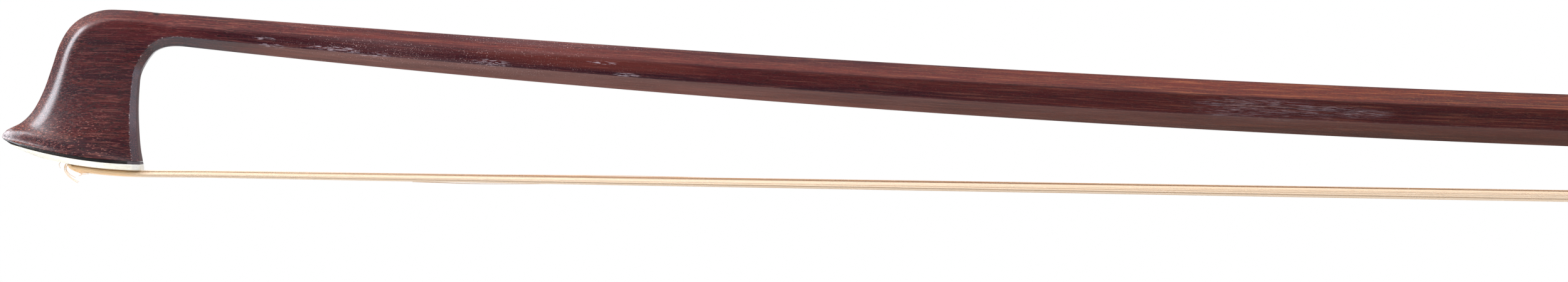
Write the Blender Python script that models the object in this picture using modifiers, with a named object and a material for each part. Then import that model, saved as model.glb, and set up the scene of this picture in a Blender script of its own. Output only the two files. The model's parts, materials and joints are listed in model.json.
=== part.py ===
"""A violin bow at playing tension: a cambered octagonal stick with a carved head, a band of hair, a frog that
slides on the handle, and the screw and button that draw it.

X runs along the hair from the head to the button, Z from the hair up to the stick, Y across.
The origin is the centre of the button's end, on the screw's axis. All sizes are in metres.
A place on the head is (distance behind the beak, height above the middle of the hair).
A place on the frog is (distance from the heel towards the head, depth below the stick's lower facet).
"""

import math

import bmesh
import bpy
from mathutils import Matrix, Vector

# Fits
GLUE_GAP = 0.00005  # between pieces that are glued, pinned or wedged
SLIDE_GAP = 0.0001  # between pieces that slide or turn on each other

WELD = 0.0000015  # points closer than this are one point

# Stick: flats are measured across the octagon
STICK_LENGTH = 0.729  # beak to the end of the wood
NECK_PLACE = 0.0294  # beak to the thinnest section, just behind the head
NECK_FLATS = 0.00522
NECK_RISE = 0.02347  # hair to the stick's centre at the neck
HANDLE_LENGTH = 0.169  # the straight and parallel part, up to the end of the wood
CAMBER_RUN = 0.226  # lowest point of the camber to the start of the handle
LOW_RISE = 0.01168  # hair to the stick's centre at that lowest point
HANDLE_FLATS = 0.0088
TAPER_RUN = 0.097  # length over which the taper closes to 1/e of what is left
STICK_ARRIS = 0.00016  # wear of the stick's upper arrises
STICK_SECTIONS = 26
NIPPLE_RADIUS = 0.0027  # turned end of the stick, inside the button
NIPPLE_LENGTH = 0.0014

# Head: pairs of (rear edge, front edge), from the neck round to the beak and on below it
HEAD_EDGES = (
    ((0.02680, 0.02075), (0.02630, 0.02623)),
    ((0.02505, 0.02008), (0.02290, 0.02651)),
    ((0.02404, 0.01904), (0.01980, 0.02667)),
    ((0.02304, 0.01749), (0.01630, 0.02660)),
    ((0.02240, 0.01590), (0.01320, 0.02555)),
    ((0.02220, 0.01380), (0.01090, 0.02375)),
    ((0.02210, 0.01160), (0.00920, 0.02090)),
    ((0.02210, 0.00960), (0.00795, 0.01700)),
    ((0.02220, 0.00740), (0.00670, 0.01330)),
    ((0.02235, 0.00520), (0.00510, 0.01010)),
    ((0.02255, 0.00350), (0.00320, 0.00805)),
    ((0.02280, 0.00210), (0.00090, 0.00680)),
    ((0.02295, 0.00120), (0.00000, 0.00563)),
    ((0.02302, 0.00045), (0.00095, 0.00480)),
    ((0.02306, -0.00030), (0.00300, 0.00360)),
    ((0.02310, -0.00140), (0.00650, 0.00230)),
)
# A section's form: half-width of the rear face, depth of the chamfer, half-width at the chamfer, swell of
# the cheek, half-width at the front bevel, depth of the bevel, half-width of the ridge, rounding of the arris
CROWN = 5
CROWN_FORM = (0.00135, 0.00140, 0.00275, 0.00005, 0.00215, 0.00220, 0.00050, 0.00070)
CHEEK = 9
CHEEK_FORM = (0.00210, 0.00138, 0.00360, 0.00070, 0.00195, 0.00230, 0.00040, 0.00080)
BEAK = 13
BEAK_FORM = (0.00310, 0.00139, 0.00460, 0.00150, 0.00125, 0.00220, 0.00045, 0.00080)
KEEL = 16
KEEL_FORM = (0.00310, 0.00139, 0.00460, 0.00110, 0.00310, 0.00060, 0.00230, 0.00020)
HEAD_STEPS = 3  # sections made from one pair of head edges to the next

# Face of the head, with its liner and plate
FACE_REAR = 0.00197  # height of the wood's face at the head's rear edge
FACE_END = 0.0230  # beak to that edge
FACE_CURVE = 6.55  # the face climbs by this times the distance squared
LINER = 0.0005
TIP_PLATE = 0.00097
TIP_MORTISE_FRONT = 0.0107
TIP_MORTISE_LENGTH = 0.0090
TIP_MORTISE_WIDTH = 0.0052
TIP_MORTISE_ROOF = 0.0068  # height above the hair

# Hair
HAIR_TIP_WIDTH = 0.0068
HAIR_FROG_WIDTH = 0.0114  # in the ferrule's mouth
HAIR_TIP_THICK = 0.0011
HAIR_FROG_THICK = 0.0009
HAIR_BELLY = 0.0007  # how much thicker the free band is in mid-span
HAIR_SECTIONS = 18
HAIR_SETTLE = 0.012  # length behind the head over which the hair comes level
KNOT_RADIUS = 0.00095

# Frog
HEEL_SETBACK = 0.0055  # end of the wood to the frog's heel
FROG_LENGTH = 0.0465  # heel to the ferrule's mouth
FROG_HEIGHT = 0.0194  # stick's lower facet to the underside
NOSE_REACH = 0.0038  # the nose, ahead of the ferrule's rear end
FROG_TOP_WIDTH = 0.0108
FROG_SIDE_WIDTH = 0.0119  # where the flat side begins, under the cove
FROG_WIDTH = 0.0128  # at the lower edge
RAIL_DEPTH = 0.0008
COVE_DEPTH = 0.0052
EDGE_WIDTH = 0.0009  # bevel of the lower edges
EDGE_HEIGHT = 0.0014
NOSE_DEPTH = 0.0015
NOSE_ROUND = 0.0010
THROAT_RADIUS = 0.0047
UNDERSLIDE = 0.0004
UNDERSLIDE_SCREW_SETBACK = 0.0040  # from the heel
UNDERSLIDE_NOSE_SETBACK = 0.0080  # from the nose
UNDERSLIDE_SCREW_HEAD = 0.0010
UNDERSLIDE_SCREW_SHANK = 0.0006
UNDERSLIDE_SCREW_LENGTH = 0.0045
HEEL_PLATE = 0.0007
HEEL_BOTTOM_LENGTH = 0.0106
HEEL_PIN_RADIUS = 0.00045
HEEL_PIN_LENGTH = 0.0036
HEEL_PIN_DEPTHS = (0.0062, 0.0138)
HEEL_BOTTOM_PIN_PLACE = 0.0078
FROG_MORTISE_REAR = 0.0135
FROG_MORTISE_LAND = 0.0045  # wood between mortise and ferrule
FROG_MORTISE_WIDTH = 0.0103
FROG_MORTISE_HEIGHT = 0.0098  # up from the underside
GROOVE_MOUTH = 0.0096  # dovetail groove of the slide
GROOVE_FLOOR = 0.0106
PEARL = 0.0009
SLIDE_BACKING = 0.0015
EYE_PLACE = 0.0172
EYE_RISE = 0.0082  # underside to the middle of the eyes
EYE_RADIUS = 0.0032
EYE_RING_RADIUS = 0.0043
EYE_THICK = 0.0008
EYE_PROUD = 0.0001

# Ferrule, with the tongue and the wedge inside it
FERRULE_LENGTH = 0.0125
FERRULE_HEIGHT = 0.0081
FERRULE_WALL = 0.00055
FERRULE_PROUD = 0.0002
FERRULE_CORNER = 0.0004
FERRULE_SIDE = 0.0024  # height of the straight sides
TONGUE_SETBACK = 0.0006
SPREAD_WEDGE = 0.0012
HAIR_RAMP = 0.0036  # length in which the hair drops from the slide to the ferrule's floor

# Eyelet and screw
EYELET_PLACE = 0.0185  # heel to the middle of the eyelet
EYELET_LENGTH = 0.0052
EYELET_WIDTH = 0.0038
EYELET_CROWN = 0.0022  # above the screw's axis
EYELET_STEM_RADIUS = 0.0016
EYELET_STEM = 0.0060
THREAD_RADIUS = 0.00125
SHANK_RADIUS = 0.00145
TANG_RADIUS = 0.0013
SCREW_TIP = 0.0088  # length of the screw beyond the mortise
SCREW_POINT = 0.0008
SLACK_TRAVEL = 0.0035  # frog's travel towards the head, hair slack
TIGHT_TRAVEL = 0.0021  # frog's travel towards the button
MORTISE_SPARE = 0.0008  # room left in the stick's mortise at each end of the travel
MORTISE_HEADROOM = 0.0004

# Button
BUTTON_LENGTH = 0.0148
BUTTON_FRONT_FLATS = 0.0089
BUTTON_REAR_FLATS = 0.0086
REAR_RING = 0.0043
BUTTON_CORE = 0.0056
RING_GROOVE = 0.00022
RING_BEAD = 0.0007
SPIGOT_RADIUS = 0.0031
SPIGOT_LENGTH = 0.0022
NIPPLE_ROOM = 0.0002
BUTTON_EYE_RADIUS = 0.0026
BUTTON_EYE_THICK = 0.0009

# Grip
LEATHER_LENGTH = 0.0260
LEATHER_THICK = 0.0011
LEATHER_EDGE = 0.0006
LEATHER_SPARE = 0.0006  # left between leather and frog when the hair is slack
LAPPING_TURNS = 20
LAPPING_PITCH = 0.0035
LAPPING_STRIP = 0.00305
LAPPING_THICK = 0.0004

# Places that follow from the sizes
EIGHTH = math.pi / 8
REACH = STICK_LENGTH + BUTTON_LENGTH
HANDLE_START = STICK_LENGTH - HANDLE_LENGTH
LOW_PLACE = HANDLE_START - CAMBER_RUN
FERRULE_REAR = FROG_LENGTH - FERRULE_LENGTH
FROG_TOP_LENGTH = FERRULE_REAR + NOSE_REACH
FROG_MORTISE_FRONT = FERRULE_REAR - FROG_MORTISE_LAND
FROG_MORTISE_ROOF = FROG_HEIGHT - FROG_MORTISE_HEIGHT
EYE_DEPTH = FROG_HEIGHT - EYE_RISE
FERRULE_TOP = FROG_HEIGHT - FERRULE_HEIGHT
MOUTH_HAIR_DEPTH = FROG_HEIGHT - FERRULE_WALL - GLUE_GAP - HAIR_FROG_THICK / 2
SLIDE_DEPTH = PEARL + SLIDE_BACKING + GLUE_GAP
SLIDE_HAIR_DEPTH = FROG_HEIGHT - SLIDE_DEPTH - GLUE_GAP - HAIR_FROG_THICK / 2
MOUTH_PLACE = BUTTON_LENGTH + HEEL_SETBACK + FROG_LENGTH
MOUTH_DEPTH = HANDLE_FLATS / 2 + MOUTH_HAIR_DEPTH
SLOPE = (MOUTH_DEPTH - LOW_RISE) / (CAMBER_RUN / 2 + REACH - HANDLE_START - MOUTH_PLACE)
TILT = math.atan(SLOPE)
HAIR_Z = -MOUTH_PLACE * math.sin(TILT) - MOUTH_DEPTH * math.cos(TILT)
MOUTH_X = -MOUTH_PLACE * math.cos(TILT) + MOUTH_DEPTH * math.sin(TILT)
LOW_Z = SLOPE * (HANDLE_START - REACH) - SLOPE * CAMBER_RUN / 2
EYELET_X = -BUTTON_LENGTH - HEEL_SETBACK - EYELET_PLACE
MORTISE_HALF = EYELET_LENGTH / 2 + MORTISE_SPARE
MORTISE_REAR_X = EYELET_X + MORTISE_HALF + TIGHT_TRAVEL
MORTISE_FRONT_X = EYELET_X - MORTISE_HALF - SLACK_TRAVEL
LEATHER_X = -BUTTON_LENGTH - HEEL_SETBACK - FROG_TOP_LENGTH - SLACK_TRAVEL - LEATHER_SPARE
LAPPING_X = LEATHER_X - LEATHER_LENGTH - GLUE_GAP
SEAT = SLIDE_GAP + UNDERSLIDE + GLUE_GAP  # stick to the ebony

for old in list(bpy.data.objects):
    bpy.data.objects.remove(old)

PARTS = bpy.data.collections.new("violin_bow")
CUTTERS = bpy.data.collections.new("cutters")
bpy.context.scene.collection.children.link(PARTS)
bpy.context.scene.collection.children.link(CUTTERS)


def material(name, colour, roughness, metallic=0.0):
    """A plain Principled material."""
    made = bpy.data.materials.new(name)
    made.use_nodes = True
    shader = made.node_tree.nodes["Principled BSDF"]
    shader.inputs["Base Color"].default_value = (*colour, 1.0)
    shader.inputs["Roughness"].default_value = roughness
    shader.inputs["Metallic"].default_value = metallic
    made.diffuse_color = (*colour, 1.0)
    return made


PERNAMBUCO = material("pernambuco", (0.13, 0.030, 0.020), 0.35)
EBONY = material("ebony", (0.012, 0.010, 0.010), 0.30)
BONE = material("bone", (0.82, 0.78, 0.66), 0.40)
MAPLE = material("maple", (0.62, 0.42, 0.22), 0.60)
HORSEHAIR = material("horsehair", (0.74, 0.60, 0.41), 0.50)
LEATHER = material("leather", (0.035, 0.020, 0.014), 0.60)
BALEEN = material("baleen", (0.30, 0.19, 0.09), 0.35)
SILVER = material("silver", (0.78, 0.77, 0.74), 0.22, 1.0)
BRASS = material("brass", (0.72, 0.50, 0.20), 0.30, 1.0)
STEEL = material("steel", (0.50, 0.50, 0.52), 0.30, 1.0)
NACRE = material("nacre", (0.80, 0.82, 0.80), 0.18)


def empty(name, parent=None, place=(0, 0, 0), tilt=0.0):
    """An axis that a group of pieces is placed by."""
    made = bpy.data.objects.new(name, None)
    made.empty_display_size = 0.01
    PARTS.objects.link(made)
    made.parent = parent
    made.location = place
    made.rotation_euler.y = tilt
    return made


HANDLE = empty("handle_axis", tilt=-TILT)
SCREW_AXIS = empty("screw_axis", HANDLE)
FROG = empty("frog_heel", HANDLE, (-BUTTON_LENGTH - HEEL_SETBACK, 0, -HANDLE_FLATS / 2))


def part(name, mesh, finish, parent=None):
    """A piece of the bow."""
    made = bpy.data.objects.new(name, mesh)
    mesh.materials.clear()
    mesh.materials.append(finish)
    PARTS.objects.link(made)
    made.parent = parent
    return made


def cutter(name, mesh, parent=None):
    """A solid that only cuts, trims or extends other pieces."""
    made = bpy.data.objects.new(name, mesh)
    CUTTERS.objects.link(made)
    made.parent = parent
    made.hide_render = True
    made.display_type = "WIRE"
    return made


def boolean(target, tool, operation):
    modifier = target.modifiers.new(tool.name, "BOOLEAN")
    modifier.operation = operation
    modifier.solver = "EXACT"
    modifier.object = tool
    return target


def cut(target, *tools):
    for tool in tools:
        boolean(target, tool, "DIFFERENCE")
    return target


def trim(target, *tools):
    for tool in tools:
        boolean(target, tool, "INTERSECT")
    return target


def extend(target, *tools):
    for tool in tools:
        boolean(target, tool, "UNION")
    return target


def to_mesh(bm, name="solid"):
    """A mesh whose faces all point outwards, without edges too short to matter."""
    bmesh.ops.remove_doubles(bm, verts=bm.verts, dist=WELD)
    bmesh.ops.recalc_face_normals(bm, faces=bm.faces)
    if bm.calc_volume(signed=True) < 0:
        bmesh.ops.reverse_faces(bm, faces=bm.faces)
    mesh = bpy.data.meshes.new(name)
    bm.to_mesh(mesh)
    bm.free()
    return mesh


def skin(rings, loop=False):
    """A closed solid through rings of points. With loop, the last ring joins the first."""
    bm = bmesh.new()
    rows = [[bm.verts.new(point) for point in ring] for ring in rings]
    pairs = list(zip(rows, rows[1:]))
    if loop:
        pairs.append((rows[-1], rows[0]))
    else:
        bm.faces.new(rows[0])
        bm.faces.new(rows[-1])
    for near, far in pairs:
        for i in range(len(near)):
            j = (i + 1) % len(near)
            bm.faces.new((near[i], near[j], far[j], far[i]))
    return to_mesh(bm)


def block(low, high):
    """A box between two corners."""
    bm = bmesh.new()
    bmesh.ops.create_cube(bm, size=1)
    low = Vector(low)
    size = Vector(high) - low
    for vert in bm.verts:
        vert.co = [low[k] + (vert.co[k] + 0.5) * size[k] for k in range(3)]
    return to_mesh(bm)


def rod(radius, start, end, sides=24):
    """A cylinder between two points."""
    start = Vector(start)
    axis = Vector(end) - start
    bm = bmesh.new()
    bmesh.ops.create_cone(
        bm, cap_ends=True, segments=sides, radius1=radius, radius2=radius, depth=axis.length
    )
    turn = axis.to_track_quat("Z", "X").to_matrix().to_4x4()
    bmesh.ops.transform(bm, verts=bm.verts, matrix=Matrix.Translation(start + axis / 2) @ turn)
    return to_mesh(bm)


def evaluated(obj):
    bpy.context.view_layer.update()
    graph = bpy.context.evaluated_depsgraph_get()
    return bpy.data.meshes.new_from_object(obj.evaluated_get(graph))


def slab(outlines, low, high, axis):
    """Flat outlines made thick along an axis: (x, z) outlines along Y, or (y, z) outlines along X.
    An outline inside the first one is a hole."""
    curve = bpy.data.curves.new("outline", "CURVE")
    curve.dimensions = "2D"
    curve.fill_mode = "BOTH"
    curve.extrude = (high - low) / 2
    for outline in outlines:
        spline = curve.splines.new("POLY")
        spline.points.add(len(outline) - 1)
        for point, (across, up) in zip(spline.points, outline):
            point.co = (across, up, 0, 1)
        spline.use_cyclic_u = True
    guide = bpy.data.objects.new("outline", curve)
    CUTTERS.objects.link(guide)
    mesh = evaluated(guide)
    bpy.data.objects.remove(guide)
    bpy.data.curves.remove(curve)
    bm = bmesh.new()
    bm.from_mesh(mesh)
    middle = (low + high) / 2
    for vert in bm.verts:
        across, up, out = vert.co
        vert.co = (out + middle, across, up) if axis == "X" else (across, out + middle, up)
    return to_mesh(bm)


def turned(profile, sides):
    """A solid turned about the X axis from (x, radius) points, its flats up and down where sides is 8."""
    flat = 1 / math.cos(EIGHTH) if sides == 8 else 1
    mesh = bpy.data.meshes.new("profile")
    points = [(radius * flat, 0, x) for x, radius in sorted(profile, key=lambda p: -p[0])]
    mesh.from_pydata(points, [(i, i + 1) for i in range(len(points) - 1)], [])
    guide = bpy.data.objects.new("profile", mesh)
    CUTTERS.objects.link(guide)
    screw = guide.modifiers.new("turn", "SCREW")
    screw.steps = screw.render_steps = sides
    screw.use_merge_vertices = True
    screw.merge_threshold = 1e-7
    made = evaluated(guide)
    bpy.data.objects.remove(guide)
    bpy.data.meshes.remove(mesh)
    bm = bmesh.new()
    bm.from_mesh(made)
    start = EIGHTH if sides == 8 else 0
    turn = Matrix.Rotation(math.pi / 2, 4, "Y") @ Matrix.Rotation(start, 4, "Z")
    bmesh.ops.transform(bm, verts=bm.verts, matrix=turn)
    return to_mesh(bm)


def refine(rows, steps):
    """Rows of numbers, with rows added between them on a smooth curve through them all."""
    fine = []
    last = len(rows) - 1
    for i in range(last):
        around = zip(rows[max(i - 1, 0)], rows[i], rows[i + 1], rows[min(i + 2, last)])
        around = list(around)
        for k in range(steps):
            t = k / steps
            fine.append([
                b + t * (c - a) / 2 + t * t * (a - 2.5 * b + 2 * c - d / 2)
                + t ** 3 * (1.5 * (b - c) + (d - a) / 2)
                for a, b, c, d in around
            ])
    return fine + [list(rows[last])]


def flats(place):
    """Across the flats of the stick, at a distance behind the beak."""
    if place >= HANDLE_START:
        return HANDLE_FLATS
    end = math.exp((NECK_PLACE - HANDLE_START) / TAPER_RUN)
    left = math.exp((NECK_PLACE - place) / TAPER_RUN)
    return HANDLE_FLATS - (HANDLE_FLATS - NECK_FLATS) * (left - end) / (1 - end)


def centre(place):
    """x, z and slope of the stick's centre line, at a distance behind the beak."""
    x = place - REACH
    if place >= HANDLE_START:
        return x, SLOPE * x, SLOPE
    run = place - LOW_PLACE
    bend = SLOPE / CAMBER_RUN
    if run < 0:
        bend = 2 * (HAIR_Z + NECK_RISE - LOW_Z) / (LOW_PLACE - NECK_PLACE) ** 2
    return x, LOW_Z + bend * run * run / 2, bend * run


def octagon_form(width):
    """The form of a section that is a regular octagon."""
    face = width / 2 * math.tan(EIGHTH)
    corner = width / 2 - face
    return (face, corner, width / 2, 0.0, width / 2, corner, face, STICK_ARRIS)


def head_form(station):
    """The form of a head section: a smooth curve through the neck, crown, cheek and beak, then to the keel."""
    keys = ((0, octagon_form(NECK_FLATS)), (CROWN, CROWN_FORM), (CHEEK, CHEEK_FORM), (BEAK, BEAK_FORM))
    if station > BEAK:
        share = (station - BEAK) / (KEEL - BEAK)
        return [a + (b - a) * share for a, b in zip(BEAK_FORM, KEEL_FORM)]
    form = [0.0] * len(BEAK_FORM)
    for key, values in keys:
        weight = math.prod((station - other) / (key - other) for other, _ in keys if other != key)
        form = [total + weight * value for total, value in zip(form, values)]
    return form


def head_point(place):
    return place[0] - REACH, HAIR_Z + place[1]


def head_rows():
    """The head's sections from the keel up to the neck: rear edge, front edge and form."""
    rows = []
    for station, (rear, front) in enumerate(HEAD_EDGES, 1):
        rows.append([*head_point(rear), *head_point(front), *head_form(station)])
    return rows[::-1]


def stick_row(place):
    x, z, slope = centre(place)
    width = flats(place)
    up = Vector((-slope, 1)).normalized() * width / 2
    return [x - up.x, z - up.y, x + up.x, z + up.y, *octagon_form(width)]


def ring(row):
    """The points of a section: round one cheek from the rear face to the ridge, and back round the other."""
    rear, front = Vector(row[0:2]), Vector(row[2:4])
    face, chamfer, rear_half, swell, front_half, bevel, ridge, arris = row[4:]
    depth = (front - rear).length
    along = (front - rear) / depth
    cheek = depth - chamfer - bevel
    half = [Vector((0, face)), Vector((chamfer, rear_half))]
    for t in (0.25, 0.5, 0.75):
        width = rear_half + (front_half - rear_half) * t + swell * 4 * t * (1 - t)
        half.append(Vector((chamfer + cheek * t, width)))
    edge = Vector((depth - bevel, front_half))
    top = Vector((depth, ridge))
    before = edge + (half[-1] - edge).normalized() * arris
    after = edge + (top - edge).normalized() * arris
    half += [before, (before + after + edge * 2) / 4, after, top]
    points = []
    for side, loop in ((1, half), (-1, half[::-1])):
        for reach, width in loop:
            at = rear + along * reach
            points.append((at.x, side * width, at.y))
    return points


def face_height(place, drop=0.0):
    """Height of the head's face, or of a layer that lies lower by drop."""
    return FACE_REAR + FACE_CURVE * (FACE_END - place) ** 2 - drop


def face_line(start, end, drop, count=12):
    places = [start + (end - start) * k / count for k in range(count + 1)]
    return [head_point((s, face_height(s, drop))) for s in places]


BEFORE_BEAK, BEHIND_HEAD, HEAD_BELOW = -0.002, 0.0245, -0.004  # past the head's outline on each side
HEAD_SPREAD = 0.009  # more than half the head's width
TIP_LAYERS = LINER + TIP_PLATE


def tip_mortise():
    front = head_point((TIP_MORTISE_FRONT, HEAD_BELOW))
    rear = head_point((TIP_MORTISE_FRONT + TIP_MORTISE_LENGTH, TIP_MORTISE_ROOF))
    half = TIP_MORTISE_WIDTH / 2
    return cutter("tip_mortise", block((front[0], -half, front[1]), (rear[0], half, rear[1])))


def make_stick(mortise):
    """The stick and head in one piece of wood, with its mortises and bores."""
    end_place = REACH - BUTTON_LENGTH * math.cos(TILT)
    run = HANDLE_START - NECK_PLACE
    places = [NECK_PLACE + run * (k / STICK_SECTIONS) ** 1.25 for k in range(STICK_SECTIONS + 1)]
    along = [stick_row(place) for place in places + [end_place]]
    head = refine(head_rows() + along[:2], HEAD_STEPS)[:-1 - HEAD_STEPS]
    stick = part("stick", skin([ring(row) for row in head + along]), PERNAMBUCO)

    floor = [head_point((BEHIND_HEAD, HEAD_BELOW)), head_point((BEFORE_BEAK, HEAD_BELOW))]
    below_face = slab([face_line(BEFORE_BEAK, BEHIND_HEAD, 0) + floor], -HEAD_SPREAD, HEAD_SPREAD, "Y")
    end = -BUTTON_LENGTH
    nipple = rod(NIPPLE_RADIUS, (end - NIPPLE_LENGTH, 0, 0), (end + NIPPLE_LENGTH, 0, 0))
    shank = rod(SHANK_RADIUS + SLIDE_GAP, (MORTISE_REAR_X - SHANK_RADIUS, 0, 0), (0, 0, 0))
    pilot_end = MORTISE_FRONT_X - SCREW_TIP - MORTISE_SPARE
    pilot = rod(THREAD_RADIUS + SLIDE_GAP, (pilot_end, 0, 0), (MORTISE_FRONT_X + THREAD_RADIUS, 0, 0))
    half = EYELET_WIDTH / 2 + SLIDE_GAP
    well = block(
        (MORTISE_FRONT_X, -half, -HANDLE_FLATS), (MORTISE_REAR_X, half, EYELET_CROWN + MORTISE_HEADROOM)
    )
    extend(stick, cutter("nipple", nipple, HANDLE))
    cut(stick, cutter("below_face", below_face), mortise)
    cut(stick, cutter("frog_mortise_in_stick", well, HANDLE))
    cut(stick, cutter("shank_bore", shank, HANDLE), cutter("pilot_bore", pilot, HANDLE))


def make_tip_layer(name, top, bottom, finish, mortise):
    """One of the two layers under the head, cut to the head's own outline."""
    rows = refine(head_rows()[:KEEL - CHEEK], HEAD_STEPS)
    layer = part(name, skin([ring(row) for row in rows]), finish)
    upper = face_line(BEFORE_BEAK, BEHIND_HEAD, top)
    lower = face_line(BEFORE_BEAK, BEHIND_HEAD, bottom)
    band = slab([upper + lower[::-1]], -HEAD_SPREAD, HEAD_SPREAD, "Y")
    trim(layer, cutter(name + "_band", band))
    cut(layer, mortise)


def make_tip_plug():
    """The wedge in the head mortise, behind the hair and over the knot."""
    front = TIP_MORTISE_FRONT + HAIR_TIP_THICK + 3 * GLUE_GAP
    rear = TIP_MORTISE_FRONT + TIP_MORTISE_LENGTH - GLUE_GAP
    roof = TIP_MORTISE_ROOF - 2 * KNOT_RADIUS - 3 * GLUE_GAP
    lower = face_line(front, rear, TIP_LAYERS, 4)
    outline = [head_point((front, roof)), *lower, head_point((rear, roof))]
    half = TIP_MORTISE_WIDTH / 2 - GLUE_GAP
    part("tip_plug", slab([outline], -half, half, "Y"), MAPLE)


def band(path, widths, thicks):
    """Rings of a flat band with eased corners, along (x, z) points."""
    rings = []
    for i, point in enumerate(path):
        before, after = path[max(i - 1, 0)], path[min(i + 1, len(path) - 1)]
        way = Vector((after[0] - before[0], after[1] - before[1])).normalized()
        out = Vector((-way.y, way.x))
        half, thick = widths[i] / 2, thicks[i] / 2
        ease = thick / 2
        loop = [(half, thick - ease), (half - ease, thick), (ease - half, thick), (-half, thick - ease)]
        loop += [(y, -up) for y, up in loop[::-1]]
        rings.append([(point[0] + out.x * up, y, point[1] + out.y * up) for y, up in loop])
    return rings


def bend(corner, radius, start, end, count=5):
    """Points of an arc about a centre, from one angle to another, in degrees."""
    angles = [math.radians(start + (end - start) * k / count) for k in range(count + 1)]
    return [(corner[0] + radius * math.cos(a), corner[1] + radius * math.sin(a)) for a in angles]


def hair_height(place):
    """Height of the middle of the free hair: along the tip plate, and then coming level."""
    on_plate = face_height(min(place, FACE_END), TIP_LAYERS) - GLUE_GAP - HAIR_TIP_THICK / 2
    level = min(max((place - FACE_END) / HAIR_SETTLE, 0), 1)
    return on_plate * (1 - level * level * (3 - 2 * level))


def make_hair():
    """The free band of hair, and its tied ends in the head and in the frog."""
    turn = HAIR_TIP_THICK / 2 + 4 * GLUE_GAP
    down_x = TIP_MORTISE_FRONT + GLUE_GAP + HAIR_TIP_THICK / 2
    ribbon_start = down_x + turn + 4 * GLUE_GAP
    mouth = REACH + MOUTH_X - SLIDE_GAP
    free = mouth - FACE_END
    places = [ribbon_start + (FACE_END - ribbon_start) * k / 5 for k in range(5)]
    places += [FACE_END + HAIR_SETTLE * k / 4 for k in range(4)]
    rest = mouth - FACE_END - HAIR_SETTLE
    places += [mouth - rest * (1 - k / HAIR_SECTIONS) for k in range(HAIR_SECTIONS + 1)]
    path = [head_point((place, hair_height(place))) for place in places]
    tip_width = TIP_MORTISE_WIDTH - 2 * GLUE_GAP
    widths, thicks = [], []
    for place in places:
        share = max(place - FACE_END, 0) / free
        spread = min((place - ribbon_start) / (FACE_END - ribbon_start), 1)
        widths.append(tip_width + (HAIR_TIP_WIDTH - tip_width) * spread + (HAIR_FROG_WIDTH - HAIR_TIP_WIDTH) * share)
        belly = HAIR_BELLY * math.sin(math.pi * share)
        thicks.append(HAIR_TIP_THICK + (HAIR_FROG_THICK - HAIR_TIP_THICK) * share + belly)
    part("hair_ribbon", skin(band(path, widths, thicks)), HORSEHAIR)

    knot_up = TIP_MORTISE_ROOF - GLUE_GAP - KNOT_RADIUS
    leave = hair_height(ribbon_start - 2 * GLUE_GAP)
    path = [(down_x, knot_up), (down_x, leave + turn * 2)]
    path += bend((down_x + turn, leave + turn), turn, 180, 270)
    path = [head_point(point) for point in path]
    knot_x = down_x + KNOT_RADIUS - HAIR_TIP_THICK / 2 + GLUE_GAP - REACH
    tie = rod(
        KNOT_RADIUS,
        (knot_x, GLUE_GAP - tip_width / 2, HAIR_Z + knot_up),
        (knot_x, tip_width / 2 - GLUE_GAP, HAIR_Z + knot_up),
        16,
    )
    count = len(path)
    tied = part("hair_tip_knot", skin(band(path, [tip_width] * count, [HAIR_TIP_THICK] * count)), HORSEHAIR)
    extend(tied, cutter("tip_tie", tie))

    half = HAIR_FROG_THICK / 2
    rise_u = FROG_MORTISE_REAR + GLUE_GAP + half
    knot_depth = FROG_MORTISE_ROOF + GLUE_GAP + KNOT_RADIUS
    turn = half + 4 * GLUE_GAP
    path = [(FROG_LENGTH - GLUE_GAP, MOUTH_HAIR_DEPTH), (FERRULE_REAR + HAIR_RAMP, MOUTH_HAIR_DEPTH)]
    path += [(FERRULE_REAR, SLIDE_HAIR_DEPTH)]
    path += bend((rise_u + turn, SLIDE_HAIR_DEPTH - turn), turn, 90, 180)
    path += [(rise_u, knot_depth)]
    path = [(-u, -v) for u, v in path]
    width = FROG_MORTISE_WIDTH - 2 * GLUE_GAP
    knot_x = half - GLUE_GAP - rise_u - KNOT_RADIUS
    end = width / 2 - GLUE_GAP
    tie = rod(KNOT_RADIUS, (knot_x, -end, -knot_depth), (knot_x, end, -knot_depth), 16)
    count = len(path)
    widths = [HAIR_FROG_WIDTH] + [width] * (count - 1)
    rings = band(path, widths, [HAIR_FROG_THICK] * count)
    tied = part("hair_frog_knot", skin(rings), HORSEHAIR, FROG)
    extend(tied, cutter("frog_tie", tie, FROG))


def rounded_octagon(width, round_share=0.0):
    """24 (y, z) points round an octagon, eased towards a circle by round_share."""
    points = []
    for k in range(24):
        angle = math.radians(7.5 + 15 * k)
        off = (angle + EIGHTH) % (2 * EIGHTH) - EIGHTH
        sharp = 1 / math.cos(off)
        radius = width / 2 * (sharp + (1.02 - sharp) * round_share)
        points.append((radius * math.cos(angle), radius * math.sin(angle)))
    return points


def make_leather():
    """The thumb leather, a sleeve glued round the stick."""
    bore = HANDLE_FLATS + 2 * GLUE_GAP
    full = bore + 2 * LEATHER_THICK
    low = full - 2 * LEATHER_EDGE
    front, rear = LEATHER_X - LEATHER_LENGTH, LEATHER_X
    sections = [(rear, bore, 0.0), (rear, low, 0.3), (rear - LEATHER_EDGE, full, 0.4)]
    sections += [(front + LEATHER_EDGE, full, 0.4), (front, low, 0.3), (front, bore, 0.0)]
    rings = [[(x, y, z) for y, z in rounded_octagon(width, ease)] for x, width, ease in sections]
    part("thumb_leather", skin(rings, loop=True), LEATHER, HANDLE)


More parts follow.
